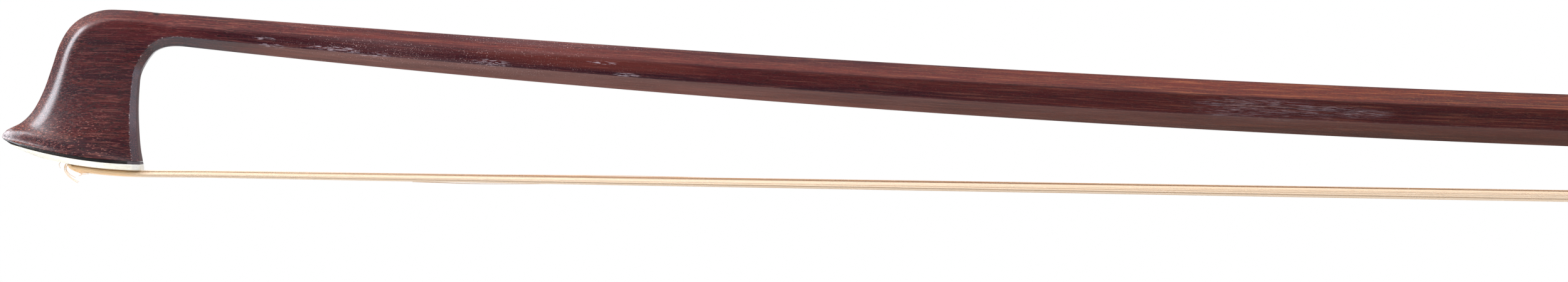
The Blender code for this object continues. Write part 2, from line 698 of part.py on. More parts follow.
def make_lapping():
    """The lapping: one flat strip wound round the handle in front of the leather."""
    inner = rounded_octagon(HANDLE_FLATS + 2 * GLUE_GAP)
    outer = rounded_octagon(HANDLE_FLATS + 2 * GLUE_GAP + 2 * LAPPING_THICK, 0.25)
    steps = len(inner)
    rings = []
    for k in range(LAPPING_TURNS * steps + 1):
        rear = LAPPING_X - LAPPING_PITCH * k / steps
        front = rear - LAPPING_STRIP
        (yi, zi), (yo, zo) = inner[k % steps], outer[k % steps]
        rings.append([(rear, yi, zi), (rear, yo, zo), (front, yo, zo), (front, yi, zi)])
    least = min(
        rings[k][2][0] - rings[k + steps][1][0] for k in range(len(rings) - steps)
    )
    print(f"stick_lapping: least gap to itself {least * 1000:.2f} mm over {LAPPING_TURNS} turns")
    part("stick_lapping", skin(rings), BALEEN, HANDLE)


def channel(offset):
    """Lower half of the stick's octagon, set out by offset, as (y, z) points in the frog's own space."""
    width = HANDLE_FLATS + 2 * offset
    face = width / 2 * math.tan(EIGHTH)
    middle = HANDLE_FLATS / 2
    right = [(width / 2, middle - face), (face, middle - width / 2)]
    return right + [(-y, z) for y, z in right[::-1]]


WING = HANDLE_FLATS / 2 * (1 - math.tan(EIGHTH))  # how far the frog reaches up the stick's lower facets


def mirrored(half):
    """A closed outline from its right half, listed from the top down."""
    return half + [(-y, z) for y, z in half[::-1]]


def frog_section():
    """The frog's cross-section as (y, z) points: rails, coves, flat sides and bevelled lower edges."""
    top, side, low = FROG_TOP_WIDTH / 2, FROG_SIDE_WIDTH / 2, FROG_WIDTH / 2
    half = [(top, WING)]
    for k in range(5):
        angle = math.pi / 8 * k
        out = top + (side - top) * (1 - math.cos(angle))
        half.append((out, -RAIL_DEPTH - (COVE_DEPTH - RAIL_DEPTH) * math.sin(angle)))
    half += [(low, EDGE_HEIGHT - FROG_HEIGHT), (low - EDGE_WIDTH, -FROG_HEIGHT)]
    return mirrored(half)


def frog_profile():
    """The ebony's side outline as (x, z) points, with the round throat above the ferrule."""
    middle = FROG_TOP_LENGTH - NOSE_ROUND
    depth = NOSE_DEPTH + THROAT_RADIUS
    front = FERRULE_REAR - GLUE_GAP
    low_angle = math.degrees(math.acos((front - middle) / THROAT_RADIUS))
    throat = bend((middle, depth), THROAT_RADIUS, low_angle, 270, 12)
    nose = bend((middle, NOSE_DEPTH - NOSE_ROUND), NOSE_ROUND, 90, 0, 4)
    heel = HEEL_PLATE + GLUE_GAP
    high, low = -2 * WING, FROG_HEIGHT + EDGE_HEIGHT
    outline = [(heel, high), (heel, low), (front, low), *throat, *nose[1:], (FROG_TOP_LENGTH, high)]
    return [(-u, -v) for u, v in outline]


def arch(half, floor, spring, top, corner=0.0):
    """A ferrule's outline as (y, z) points: flat floor, straight sides, elliptical top. Depths in v."""
    right = []
    end = math.acos(max(spring - floor, 0) / (spring - top))
    for k in range(9):
        angle = end * k / 8
        right.append((half * math.sin(angle), -(spring - (spring - top) * math.cos(angle))))
    if floor > spring:
        right += [(half, corner - floor), (half - corner, -floor)] if corner else [(half, -floor)]
    return right + [(-y, z) for y, z in right[:0:-1]]


def seat_cut():
    lower = channel(SEAT)
    reach = HANDLE_FLATS
    outline = [(lower[0][0], reach), *lower, (lower[-1][0], reach)]
    return slab([outline], -FROG_LENGTH, FROG_LENGTH, "X")


def dovetail(depth):
    """Half-width of the slide's groove at a depth above the frog's underside."""
    return (GROOVE_MOUTH + (GROOVE_FLOOR - GROOVE_MOUTH) * depth / SLIDE_DEPTH) / 2


def dovetail_strip(low, high, gap, start, end):
    """A strip of the dovetail between two heights over the underside."""
    outline = []
    for depth, side in ((low, 1), (high, 1), (high, -1), (low, -1)):
        outline.append((side * (dovetail(depth) - gap), depth - FROG_HEIGHT))
    return slab([outline], -end, -start, "X")


HALF_FERRULE = FROG_WIDTH / 2 + FERRULE_PROUD
FERRULE_SPRING = FROG_HEIGHT - FERRULE_SIDE
HAIR_ROOF = SLIDE_HAIR_DEPTH - HAIR_FROG_THICK / 2 - GLUE_GAP
TONGUE_DEPTH = MOUTH_HAIR_DEPTH - HAIR_FROG_THICK / 2 - SPREAD_WEDGE - 2 * GLUE_GAP


def side_angle():
    """Lean of the frog's flat side from upright."""
    run = FROG_HEIGHT - EDGE_HEIGHT - COVE_DEPTH
    return math.atan((FROG_WIDTH - FROG_SIDE_WIDTH) / 2 / run)


def eye_disc(radius, inner, outer, side, sides=32):
    """A disc square to the frog's flat side, between two distances from its surface."""
    lean = side_angle()
    half = FROG_SIDE_WIDTH / 2 + (EYE_DEPTH - COVE_DEPTH) * math.tan(lean)
    middle = Vector((-EYE_PLACE, side * half, -EYE_DEPTH))
    out = Vector((0, side * math.cos(lean), math.sin(lean)))
    return rod(radius, middle + out * inner, middle + out * outer, sides)


def make_frog_body(pin_holes, screw_holes):
    """The ebony frog: its section run along the handle, trimmed to the side outline, then mortised."""
    body = part("frog_body", slab([frog_section()], -FROG_LENGTH, 0, "X"), EBONY, FROG)
    outline = slab([frog_profile()], -FROG_WIDTH, FROG_WIDTH, "Y")
    trim(body, cutter("frog_side_outline", outline, FROG))
    wall = FERRULE_WALL + GLUE_GAP
    tongue_outline = arch(HALF_FERRULE - wall, TONGUE_DEPTH, FERRULE_SPRING, FERRULE_TOP + wall)
    tongue = slab([tongue_outline], TONGUE_SETBACK - FROG_LENGTH, HAIR_RAMP - FERRULE_REAR, "X")
    extend(body, cutter("tongue", tongue, FROG))
    cut(body, cutter("seat_for_underslide", seat_cut(), FROG))

    half = FROG_MORTISE_WIDTH / 2
    below = FROG_HEIGHT + HEEL_PLATE
    channel_end = -FERRULE_REAR - HAIR_RAMP
    mortise = block((-FROG_MORTISE_FRONT, -half, -below), (-FROG_MORTISE_REAR, half, -FROG_MORTISE_ROOF))
    hair_way = block((channel_end, -half, -below), (-FROG_MORTISE_REAR, half, -HAIR_ROOF))
    groove = dovetail_strip(-HEEL_PLATE, SLIDE_DEPTH, 0, HEEL_BOTTOM_LENGTH, FERRULE_REAR + GLUE_GAP)
    rebate = block(
        (-HEEL_BOTTOM_LENGTH - GLUE_GAP, -FROG_WIDTH, -below), (0, FROG_WIDTH, HEEL_PLATE + GLUE_GAP - FROG_HEIGHT)
    )
    cut(body, cutter("hair_mortise", mortise, FROG), cutter("hair_way", hair_way, FROG))
    cut(body, cutter("slide_groove", groove, FROG), cutter("heel_rebate", rebate, FROG))
    for side in (-1, 1):
        recess = eye_disc(EYE_RING_RADIUS + GLUE_GAP, -EYE_THICK - GLUE_GAP, EYE_THICK, side)
        cut(body, cutter("eye_recess", recess, FROG))
    stem = rod(EYELET_STEM_RADIUS + GLUE_GAP, (-EYELET_PLACE, 0, -EYELET_STEM - SEAT - GLUE_GAP), (-EYELET_PLACE, 0, 0))
    cut(body, cutter("eyelet_stem_hole", stem, FROG), *pin_holes, *screw_holes)


def make_eyes():
    """The pearl eyes in their silver rings, one on each side of the frog."""
    for side, name in ((-1, "near"), (1, "far")):
        part("eye_pearl_" + name, eye_disc(EYE_RADIUS, -EYE_THICK, EYE_PROUD, side), NACRE, FROG)
        eye_ring = eye_disc(EYE_RING_RADIUS, -EYE_THICK, EYE_PROUD, side)
        eye_ring = part("eye_ring_" + name, eye_ring, SILVER, FROG)
        bore = eye_disc(EYE_RADIUS + GLUE_GAP, -2 * EYE_THICK, EYE_THICK, side)
        cut(eye_ring, cutter("eye_ring_bore", bore, FROG))


def make_underslide(screw_holes):
    """The silver plate between frog and stick, bent round three facets."""
    outer, inner = channel(SLIDE_GAP + UNDERSLIDE), channel(SLIDE_GAP)
    outline = [(outer[0][0], WING), *outer, (outer[-1][0], WING)]
    outline += [(inner[-1][0], WING), *inner[::-1], (inner[0][0], WING)]
    plate = part("underslide", slab([outline], -FROG_TOP_LENGTH, 0, "X"), SILVER, FROG)
    half = EYELET_LENGTH / 2 + GLUE_GAP
    wide = EYELET_WIDTH / 2 + GLUE_GAP
    hole = block((-EYELET_PLACE - half, -wide, -HANDLE_FLATS), (half - EYELET_PLACE, wide, HANDLE_FLATS))
    cut(plate, cutter("eyelet_slot", hole, FROG), *screw_holes)


def underslide_screw(place, extra):
    top = -SLIDE_GAP
    under = top - UNDERSLIDE
    end = top - UNDERSLIDE_SCREW_LENGTH - extra
    head = rod(UNDERSLIDE_SCREW_HEAD + extra, (-place, 0, under), (-place, 0, top + extra), 16)
    shank = rod(UNDERSLIDE_SCREW_SHANK + extra, (-place, 0, end), (-place, 0, top - UNDERSLIDE / 2), 16)
    return head, shank


def make_underslide_screws():
    """Two countersunk screws, and the holes that they need."""
    holes = []
    places = {"rear": UNDERSLIDE_SCREW_SETBACK, "front": FROG_TOP_LENGTH - UNDERSLIDE_NOSE_SETBACK}
    for name, place in places.items():
        for hole in underslide_screw(place, GLUE_GAP):
            holes.append(cutter("underslide_screw_hole", hole, FROG))
        head, shank = underslide_screw(place, 0)
        screw = part("underslide_screw_" + name, head, STEEL, FROG)
        extend(screw, cutter("underslide_screw_shank", shank, FROG))
    return holes


def heel_pin(name, extra):
    """One of the three pins through the heel plates, made thicker and longer by extra."""
    radius = HEEL_PIN_RADIUS + extra
    if name == "bottom":
        place, low = -HEEL_BOTTOM_PIN_PLACE, -FROG_HEIGHT - extra
        return rod(radius, (place, 0, low), (place, 0, low + HEEL_PIN_LENGTH + 2 * extra), 12)
    depth = HEEL_PIN_DEPTHS[name == "lower"]
    return rod(radius, (extra, 0, -depth), (-HEEL_PIN_LENGTH - extra, 0, -depth), 12)


def make_heel_pins():
    """The pins, and the holes that they need."""
    holes = []
    for name in ("upper", "lower", "bottom"):
        holes.append(cutter("heel_pin_hole", heel_pin(name, GLUE_GAP), FROG))
        part("heel_pin_" + name, heel_pin(name, 0), SILVER, FROG)
    return holes


def make_heel(pin_holes):
    """The two silver plates round the heel."""
    back = part("heel_plate_back", slab([frog_section()], -HEEL_PLATE, 0, "X"), SILVER, FROG)
    cut(back, cutter("heel_seat", seat_cut(), FROG), *pin_holes[:2])
    start = -HEEL_PLATE - GLUE_GAP
    bottom = part("heel_plate_bottom", slab([frog_section()], -HEEL_BOTTOM_LENGTH, start, "X"), SILVER, FROG)
    layer = block((-FROG_LENGTH, -FROG_WIDTH, -2 * FROG_HEIGHT), (HEEL_PLATE, FROG_WIDTH, HEEL_PLATE - FROG_HEIGHT))
    trim(bottom, cutter("heel_bottom_layer", layer, FROG))
    cut(bottom, pin_holes[2])


def make_slide():
    """The pearl slide on its ebony backing, dovetailed into the frog."""
    start, end = HEEL_BOTTOM_LENGTH + 2 * GLUE_GAP, FERRULE_REAR - GLUE_GAP
    part("pearl_slide", dovetail_strip(0, PEARL, GLUE_GAP, start, end), NACRE, FROG)
    backing = dovetail_strip(PEARL + GLUE_GAP, SLIDE_DEPTH - GLUE_GAP, GLUE_GAP, start, end)
    part("slide_backing", backing, EBONY, FROG)


def make_ferrule():
    """The silver ferrule, and the wedge that spreads the hair in it."""
    outer = arch(HALF_FERRULE, FROG_HEIGHT, FERRULE_SPRING, FERRULE_TOP, FERRULE_CORNER)
    wall = FERRULE_WALL
    inner = arch(HALF_FERRULE - wall, FROG_HEIGHT - wall, FERRULE_SPRING, FERRULE_TOP + wall)
    part("ferrule", slab([outer, inner], -FROG_LENGTH, -FERRULE_REAR, "X"), SILVER, FROG)
    half = HAIR_FROG_WIDTH / 2
    low = -(TONGUE_DEPTH + GLUE_GAP + SPREAD_WEDGE)
    start, end = FERRULE_REAR + HAIR_RAMP + GLUE_GAP, FROG_LENGTH - TONGUE_SETBACK
    part("spread_wedge", block((-end, -half, low), (-start, half, low + SPREAD_WEDGE)), MAPLE, FROG)


def make_frog_plug():
    half = FROG_MORTISE_WIDTH / 2 - GLUE_GAP
    rear = FROG_MORTISE_REAR + HAIR_FROG_THICK + 3 * GLUE_GAP
    roof = FROG_MORTISE_ROOF + 2 * KNOT_RADIUS + 3 * GLUE_GAP
    plug = block((GLUE_GAP - FROG_MORTISE_FRONT, -half, -HAIR_ROOF), (-rear, half, -roof))
    part("frog_plug", plug, MAPLE, FROG)


def make_eyelet():
    """The brass nut: a block in the stick's mortise on a stem that is screwed into the frog."""
    half = EYELET_LENGTH / 2
    top = HANDLE_FLATS / 2 + EYELET_CROWN
    wide = EYELET_WIDTH / 2
    eyelet = part(
        "eyelet", block((-EYELET_PLACE - half, -wide, -SLIDE_GAP), (half - EYELET_PLACE, wide, top)), BRASS, FROG
    )
    stem = rod(EYELET_STEM_RADIUS, (-EYELET_PLACE, 0, -EYELET_STEM - SEAT), (-EYELET_PLACE, 0, half))
    extend(eyelet, cutter("eyelet_stem", stem, FROG))
    axis = HANDLE_FLATS / 2
    reach = EYELET_PLACE + 2 * half
    bore = rod(THREAD_RADIUS + SLIDE_GAP, (-reach, 0, axis), (-EYELET_PLACE + 2 * half, 0, axis))
    cut(eyelet, cutter("eyelet_bore", bore, FROG))


CORE_REAR_X = -REAR_RING - GLUE_GAP
CORE_FRONT_X = CORE_REAR_X - BUTTON_CORE
FRONT_RING_REAR_X = CORE_FRONT_X - GLUE_GAP
FRONT_RING_FRONT_X = -BUTTON_LENGTH + SLIDE_GAP


def make_screw():
    """The adjusting screw, from its tang in the button to its point in the stick's pilot bore."""
    tip = MORTISE_FRONT_X - SCREW_TIP
    thread_end = MORTISE_REAR_X
    profile = [
        (CORE_REAR_X - GLUE_GAP, 0),
        (CORE_REAR_X - GLUE_GAP, TANG_RADIUS),
        (CORE_FRONT_X, TANG_RADIUS),
        (CORE_FRONT_X - GLUE_GAP, SHANK_RADIUS),
        (thread_end + SCREW_POINT, SHANK_RADIUS),
        (thread_end, THREAD_RADIUS),
        (tip + SCREW_POINT, THREAD_RADIUS),
        (tip, THREAD_RADIUS - SCREW_POINT / 2),
        (tip - GLUE_GAP, 0),
    ]
    part("adjusting_screw", turned(profile, 24), STEEL, SCREW_AXIS)


def beaded(rear, front, rear_flats, front_flats):
    """Profile of an octagonal ring with a groove inside each end bead."""
    def radius(x):
        return (rear_flats + (front_flats - rear_flats) * (rear - x) / (rear - front)) / 2

    points = [(rear, 0), (rear, radius(rear) - RING_GROOVE), (rear - RING_GROOVE, radius(rear))]
    for groove in (rear - RING_BEAD, front + RING_BEAD):
        points += [(groove + RING_GROOVE, radius(groove)), (groove, radius(groove) - RING_GROOVE)]
        points.append((groove - RING_GROOVE, radius(groove)))
    points += [(front + RING_GROOVE, radius(front)), (front, radius(front) - RING_GROOVE), (front, 0)]
    return points


def make_button():
    """The button: two silver rings with an ebony core between them, and a pearl in the end."""
    middle = (BUTTON_FRONT_FLATS + BUTTON_REAR_FLATS) / 2
    rear_ring = turned(beaded(0, -REAR_RING, BUTTON_REAR_FLATS, middle), 8)
    rear_ring = part("button_rear_ring", rear_ring, SILVER, SCREW_AXIS)
    front_ring = turned(beaded(FRONT_RING_REAR_X, FRONT_RING_FRONT_X, middle, BUTTON_FRONT_FLATS), 8)
    front_ring = part("button_front_ring", front_ring, SILVER, SCREW_AXIS)
    body = turned([(CORE_REAR_X, 0), (CORE_REAR_X, middle / 2), (CORE_FRONT_X, middle / 2), (CORE_FRONT_X, 0)], 8)
    core = part("button_core", body, EBONY, SCREW_AXIS)

    spigot = rod(SPIGOT_RADIUS, (CORE_FRONT_X - SPIGOT_LENGTH, 0, 0), (CORE_REAR_X + SPIGOT_LENGTH, 0, 0))
    extend(core, cutter("core_spigots", spigot, SCREW_AXIS))
    socket = SPIGOT_RADIUS + GLUE_GAP
    deep = SPIGOT_LENGTH + GLUE_GAP
    rear_socket = rod(socket, (-REAR_RING - deep, 0, 0), (CORE_REAR_X + deep, 0, 0))
    front_socket = rod(socket, (FRONT_RING_REAR_X - deep, 0, 0), (CORE_FRONT_X + deep, 0, 0))
    eye_room = rod(BUTTON_EYE_RADIUS + GLUE_GAP, (-BUTTON_EYE_THICK - GLUE_GAP, 0, 0), (REAR_RING, 0, 0), 32)
    nipple_end = -BUTTON_LENGTH + NIPPLE_LENGTH + NIPPLE_ROOM
    nipple_room = rod(NIPPLE_RADIUS + SLIDE_GAP, (-2 * BUTTON_LENGTH, 0, 0), (nipple_end, 0, 0))
    through = rod(SHANK_RADIUS + GLUE_GAP, (-2 * BUTTON_LENGTH, 0, 0), (CORE_FRONT_X, 0, 0))
    tang = rod(TANG_RADIUS + GLUE_GAP, (-2 * BUTTON_LENGTH, 0, 0), (CORE_REAR_X, 0, 0))
    cut(rear_ring, cutter("rear_socket", rear_socket, SCREW_AXIS), cutter("eye_room", eye_room, SCREW_AXIS))
    screw_hole = cutter("screw_hole", through, SCREW_AXIS)
    cut(front_ring, cutter("front_socket", front_socket, SCREW_AXIS))
    cut(front_ring, cutter("nipple_room", nipple_room, SCREW_AXIS), screw_hole)
    cut(core, cutter("tang_bore", tang, SCREW_AXIS), screw_hole)
    pearl = rod(BUTTON_EYE_RADIUS, (-BUTTON_EYE_THICK, 0, 0), (0, 0, 0), 32)
    part("button_pearl", pearl, NACRE, SCREW_AXIS)


def settle(angle=math.radians(28)):
    """Gives each piece its cut shape as its own mesh, smooth on round faces and sharp at edges."""
    made = {obj: evaluated(obj) for obj in PARTS.objects if obj.type == "MESH"}
    for obj, shape in made.items():
        finish = obj.data.materials[0]
        bm = bmesh.new()
        bm.from_mesh(shape)
        mesh = to_mesh(bm, obj.name)
        mesh.materials.append(finish)
        obj.modifiers.clear()
        obj.data = mesh
        mesh.shade_smooth()
        mesh.set_sharp_from_angle(angle=angle)
        for polygon in mesh.polygons:
            polygon.material_index = 0


mortise_tool = tip_mortise()
make_stick(mortise_tool)
make_tip_layer("tip_liner", GLUE_GAP, LINER, EBONY, mortise_tool)
make_tip_layer("tip_plate", LINER + GLUE_GAP, TIP_LAYERS, BONE, mortise_tool)
make_tip_plug()
make_hair()
make_leather()
make_lapping()
pin_tools = make_heel_pins()
screw_tools = make_underslide_screws()
make_frog_body(pin_tools, screw_tools)
make_eyes()
make_underslide(screw_tools)
make_heel(pin_tools)
make_slide()
make_ferrule()
make_frog_plug()
make_eyelet()
make_screw()
make_button()
settle()
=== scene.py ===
"""Looks of a violin bow: fine stick and head, hair, grip, and a procedural material for every piece."""

import json
import math
import random

import bmesh
import bpy
from mathutils import Matrix, Vector


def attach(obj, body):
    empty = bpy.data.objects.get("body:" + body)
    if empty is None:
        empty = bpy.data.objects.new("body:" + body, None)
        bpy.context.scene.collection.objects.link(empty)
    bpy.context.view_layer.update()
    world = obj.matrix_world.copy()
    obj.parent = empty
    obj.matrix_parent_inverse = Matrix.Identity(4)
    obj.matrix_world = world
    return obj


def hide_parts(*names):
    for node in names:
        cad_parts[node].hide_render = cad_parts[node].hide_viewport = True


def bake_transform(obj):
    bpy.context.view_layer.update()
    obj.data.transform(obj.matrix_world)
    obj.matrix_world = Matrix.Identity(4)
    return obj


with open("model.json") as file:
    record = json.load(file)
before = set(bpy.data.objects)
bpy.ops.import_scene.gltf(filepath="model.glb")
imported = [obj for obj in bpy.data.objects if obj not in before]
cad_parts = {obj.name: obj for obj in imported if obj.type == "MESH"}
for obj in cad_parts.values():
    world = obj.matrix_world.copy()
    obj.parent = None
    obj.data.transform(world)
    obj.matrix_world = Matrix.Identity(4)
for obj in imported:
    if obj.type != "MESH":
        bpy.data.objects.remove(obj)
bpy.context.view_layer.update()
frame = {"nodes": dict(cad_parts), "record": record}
STICK_SIDE, FROG_SIDE = "stick_side", "frog_side"

# The part's own sizes, in metres. Places are (distance behind the beak, height above the hair's middle). The
# head's pairs of (rear edge, front edge) are in millimetres, from the neck round to the beak and on below it.
STICK_LENGTH, BUTTON_LENGTH = 0.729, 0.0148
REACH = STICK_LENGTH + BUTTON_LENGTH
NECK_PLACE, NECK_FLATS, NECK_RISE = 0.0294, 0.00522, 0.02347
HANDLE_LENGTH, CAMBER_RUN, LOW_RISE, HANDLE_FLATS = 0.169, 0.226, 0.01168, 0.0088
HANDLE_START = STICK_LENGTH - HANDLE_LENGTH
LOW_PLACE = HANDLE_START - CAMBER_RUN
TAPER_RUN = 0.097
MOUTH_PLACE, MOUTH_DEPTH = 0.0668, 0.02275
SLOPE = (MOUTH_DEPTH - LOW_RISE) / (CAMBER_RUN / 2 + REACH - HANDLE_START - MOUTH_PLACE)
TILT = math.atan(SLOPE)
HAIR_Z = -MOUTH_PLACE * math.sin(TILT) - MOUTH_DEPTH * math.cos(TILT)
MOUTH_X = -MOUTH_PLACE * math.cos(TILT) + MOUTH_DEPTH * math.sin(TILT)
LOW_Z = SLOPE * (HANDLE_START - REACH) - SLOPE * CAMBER_RUN / 2
EIGHTH = math.pi / 8
HEAD_EDGES = (
    ((26.80, 20.75), (26.30, 26.23)),
    ((25.05, 20.08), (22.90, 26.51)),
    ((24.04, 19.04), (19.80, 26.67)),
    ((23.04, 17.49), (16.30, 26.60)),
    ((22.40, 15.90), (13.20, 25.55)),
    ((22.20, 13.80), (10.90, 23.75)),
    ((22.10, 11.60), (9.20, 20.90)),
    ((22.10, 9.60), (7.95, 17.00)),
    ((22.20, 7.40), (6.70, 13.30)),
    ((22.35, 5.20), (5.10, 10.10)),
    ((22.55, 3.50), (3.20, 8.05)),
    ((22.80, 2.10), (0.90, 6.80)),
    ((22.95, 1.20), (0.00, 5.63)),
    ((23.02, 0.45), (0.95, 4.80)),
    ((23.06, -0.30), (3.00, 3.60)),
    ((23.10, -1.40), (6.50, 2.30)),
)
# Half-width of the rear face, depth of the chamfer, half-width there, swell of the cheek, half-width at the front
# bevel, depth of the bevel, half-width of the ridge, rounding of the arris
CROWN, CROWN_FORM = 5, (0.00135, 0.00140, 0.00275, 0.00005, 0.00215, 0.00220, 0.00050, 0.00070)
CHEEK, CHEEK_FORM = 9, (0.00210, 0.00138, 0.00360, 0.00070, 0.00195, 0.00230, 0.00040, 0.00080)
BEAK, BEAK_FORM = 13, (0.00310, 0.00139, 0.00460, 0.00150, 0.00125, 0.00220, 0.00045, 0.00080)
KEEL, KEEL_FORM = 16, (0.00310, 0.00139, 0.00460, 0.00110, 0.00310, 0.00060, 0.00230, 0.00020)
FACE_REAR, FACE_END, FACE_CURVE = 0.00197, 0.0230, 6.55
GLUE_GAP, LINER, TIP_LAYERS = 0.00005, 0.0005, 0.00147
BEFORE_BEAK, BEHIND_HEAD, HEAD_BELOW, HEAD_SPREAD = -0.002, 0.0245, -0.004, 0.009  # past the head's outline
# Frog mortise: low and high corner. Bores and nipple: radius, start and end along the handle.
FROG_MORTISE = ((-0.0457, -0.0020, -0.0088), (-0.0333, 0.0020, 0.0026))
SHANK_BORE, PILOT_BORE = (0.00155, -0.0347, -0.0100), (0.00135, -0.0553, -0.0445)
NIPPLE = (0.0027, -BUTTON_LENGTH, -0.0134)


def flats(place):
    """Across the flats of the stick."""
    if place >= HANDLE_START:
        return HANDLE_FLATS
    end = math.exp((NECK_PLACE - HANDLE_START) / TAPER_RUN)
    left = math.exp((NECK_PLACE - place) / TAPER_RUN)
    return HANDLE_FLATS - (HANDLE_FLATS - NECK_FLATS) * (left - end) / (1 - end)


def centre(place):
    """x, z and slope of the stick's centre line."""
    x = place - REACH
    if place >= HANDLE_START:
        return x, SLOPE * x, SLOPE
    run = place - LOW_PLACE
    bend = SLOPE / CAMBER_RUN
    if run < 0:
        bend = 2 * (HAIR_Z + NECK_RISE - LOW_Z) / (LOW_PLACE - NECK_PLACE) ** 2
    return x, LOW_Z + bend * run * run / 2, bend * run


def worn_arris(place):
    """Rounding of the stick's upper arrises: played smooth behind the head, crisper towards the handle."""
    return 0.00016 + 0.00072 * math.exp(-max(place - NECK_PLACE, 0) / 0.085)


def octagon_form(width, arris):
    face = width / 2 * math.tan(EIGHTH)
    corner = width / 2 - face
    return (face, corner, width / 2, 0.0, width / 2, corner, face, arris)


def head_form(station):
    keys = (
        (0, octagon_form(NECK_FLATS, worn_arris(NECK_PLACE))),
        (CROWN, CROWN_FORM),
        (CHEEK, CHEEK_FORM),
        (BEAK, BEAK_FORM),
    )
    if station > BEAK:
        share = (station - BEAK) / (KEEL - BEAK)
        return [a + (b - a) * share for a, b in zip(BEAK_FORM, KEEL_FORM)]
    form = [0.0] * len(BEAK_FORM)
    for key, values in keys:
        weight = math.prod((station - other) / (key - other) for other, _ in keys if other != key)
        form = [total + weight * value for total, value in zip(form, values)]
    return form


def played(form, share):
    """The head's form as worn by use: the front bevel narrower and rounder, the rear chamfer narrower."""
    face, chamfer, rear_half, swell, front_half, bevel, ridge, arris = form
    return (face, chamfer * (1 - 0.16 * share), rear_half, swell, front_half, bevel * (1 - 0.17 * share),
            ridge, arris * (1 + 0.35 * share))


def head_point(place):
    return place[0] - REACH, HAIR_Z + place[1]


def head_rows():
    rows = []
    for station, edges in enumerate(HEAD_EDGES, 1):
        (a, b), (c, d) = edges
        rear, front = (a / 1000, b / 1000), (c / 1000, d / 1000)
        share = min(1.0, (station - 1) / 3) * min(1.0, (len(HEAD_EDGES) - station) / 3)
        rows.append([*head_point(rear), *head_point(front), *played(head_form(station), share)])
    return rows[::-1]


def stick_row(place):
    x, z, slope = centre(place)
    width = flats(place)
    up = Vector((-slope, 1)).normalized() * width / 2
    return [x - up.x, z - up.y, x + up.x, z + up.y, *octagon_form(width, worn_arris(place))]


def refine(rows, steps):
    """Rows on a smooth curve through the given ones."""
    fine = []
    last = len(rows) - 1
    for i in range(last):
        around = list(zip(rows[max(i - 1, 0)], rows[i], rows[i + 1], rows[min(i + 2, last)]))
        for k in range(steps):
            t = k / steps
            fine.append([
                b + t * (c - a) / 2 + t * t * (a - 2.5 * b + 2 * c - d / 2)
                + t ** 3 * (1.5 * (b - c) + (d - a) / 2)
                for a, b, c, d in around
            ])
    return fine + [list(rows[last])]


def corner_points(start, corner, end, steps, wear):
    """A rounded corner, worn most in its middle."""
    points = []
    for k in range(steps + 1):
        t = k / steps
        at = start * (1 - t) ** 2 + corner * 2 * t * (1 - t) + end * t * t
        points.append((at, wear * (1.0 - 0.35 * abs(2 * t - 1))))
    return points


def half_section(row):
    """One cheek of a section, from the middle of the rear face to the middle of the ridge, and its wear."""
    depth = (Vector(row[2:4]) - Vector(row[0:2])).length
    face, chamfer, rear_half, swell, front_half, bevel, ridge, arris = row[4:]
    cheek = depth - chamfer - bevel

    def side(t):
        width = rear_half + (front_half - rear_half) * t + swell * 4 * t * (1 - t)
        return Vector((chamfer + cheek * t, width))

    def toward(a, b, distance):
        return a + (b - a).normalized() * distance

    heel, brow, crest, top = Vector((0, face)), side(0), side(1), Vector((depth, ridge))
    small, crisp, rim = 0.00008, 0.00009, 0.00020
    top_reach = max(small, min(arris * 0.5, ridge * 0.4))
    middle, peak = Vector((0, 0)), Vector((depth, 0))
    half = [(middle, 0.0), (toward(heel, middle, small + rim), 0.0)]
    half += corner_points(toward(heel, middle, small), heel, toward(heel, brow, small), 2, 0.5)
    half += [(toward(heel, brow, small + rim), 0.0), (toward(brow, heel, crisp + rim), 0.0)]
    half += corner_points(toward(brow, heel, crisp), brow, side(crisp / cheek), 3, 1.0)
    start, end = (crisp + rim) / cheek, 1 - (arris + rim) / cheek
    half += [(side(start + (end - start) * k / 9), 0.0) for k in range(10)]
    half += corner_points(side(1 - arris / cheek), crest, toward(crest, top, arris), 9, 0.45)
    half += [(toward(crest, top, arris + rim), 0.0), (toward(top, crest, top_reach + rim), 0.0)]
    half += corner_points(toward(top, crest, top_reach), top, toward(top, peak, top_reach), 3, 0.55)
    half.append((peak, 0.0))
    return half


def section(row):
    """A whole section: (x, y, z) points and the wear of each."""
    rear, front = Vector(row[0:2]), Vector(row[2:4])
    along = (front - rear).normalized()
    half = half_section(row)
    points = []
    for side, loop in ((1, half), (-1, half[-2:0:-1])):
        for at, wear in loop:
            flat = rear + along * at.x
            points.append(((flat.x, side * at.y, flat.y), wear))
    return points


def grain(x, z):
    """How far a point lies along the grain, and how high in it. The grain bends with the stick."""
    place = x + REACH
    if place > NECK_PLACE:
        _, middle, slope = centre(place)
        return place, (z - middle) / math.hypot(1, slope)
    _, middle, slope = centre(NECK_PLACE)
    run = NECK_PLACE - place
    turn = 0.010
    drop = slope * (run - run * run / (2 * turn)) if run < turn else slope * turn / 2
    return place, z - (middle - drop)


def bridge(bm, loops):
    """Faces between each loop of points and the next."""
    for near, far in zip(loops, loops[1:]):
        for i in range(len(near)):
            j = (i + 1) % len(near)
            bm.faces.new((near[i], near[j], far[j], far[i]))


def to_object(name, bm, recalc=True):
    if recalc:
        bmesh.ops.recalc_face_normals(bm, faces=bm.faces)
        if bm.calc_volume(signed=True) < 0:
            bmesh.ops.reverse_faces(bm, faces=bm.faces)
    mesh = bpy.data.meshes.new(name)
    bm.to_mesh(mesh)
    bm.free()
    made = bpy.data.objects.new(name, mesh)
    bpy.context.scene.collection.objects.link(made)
    return made


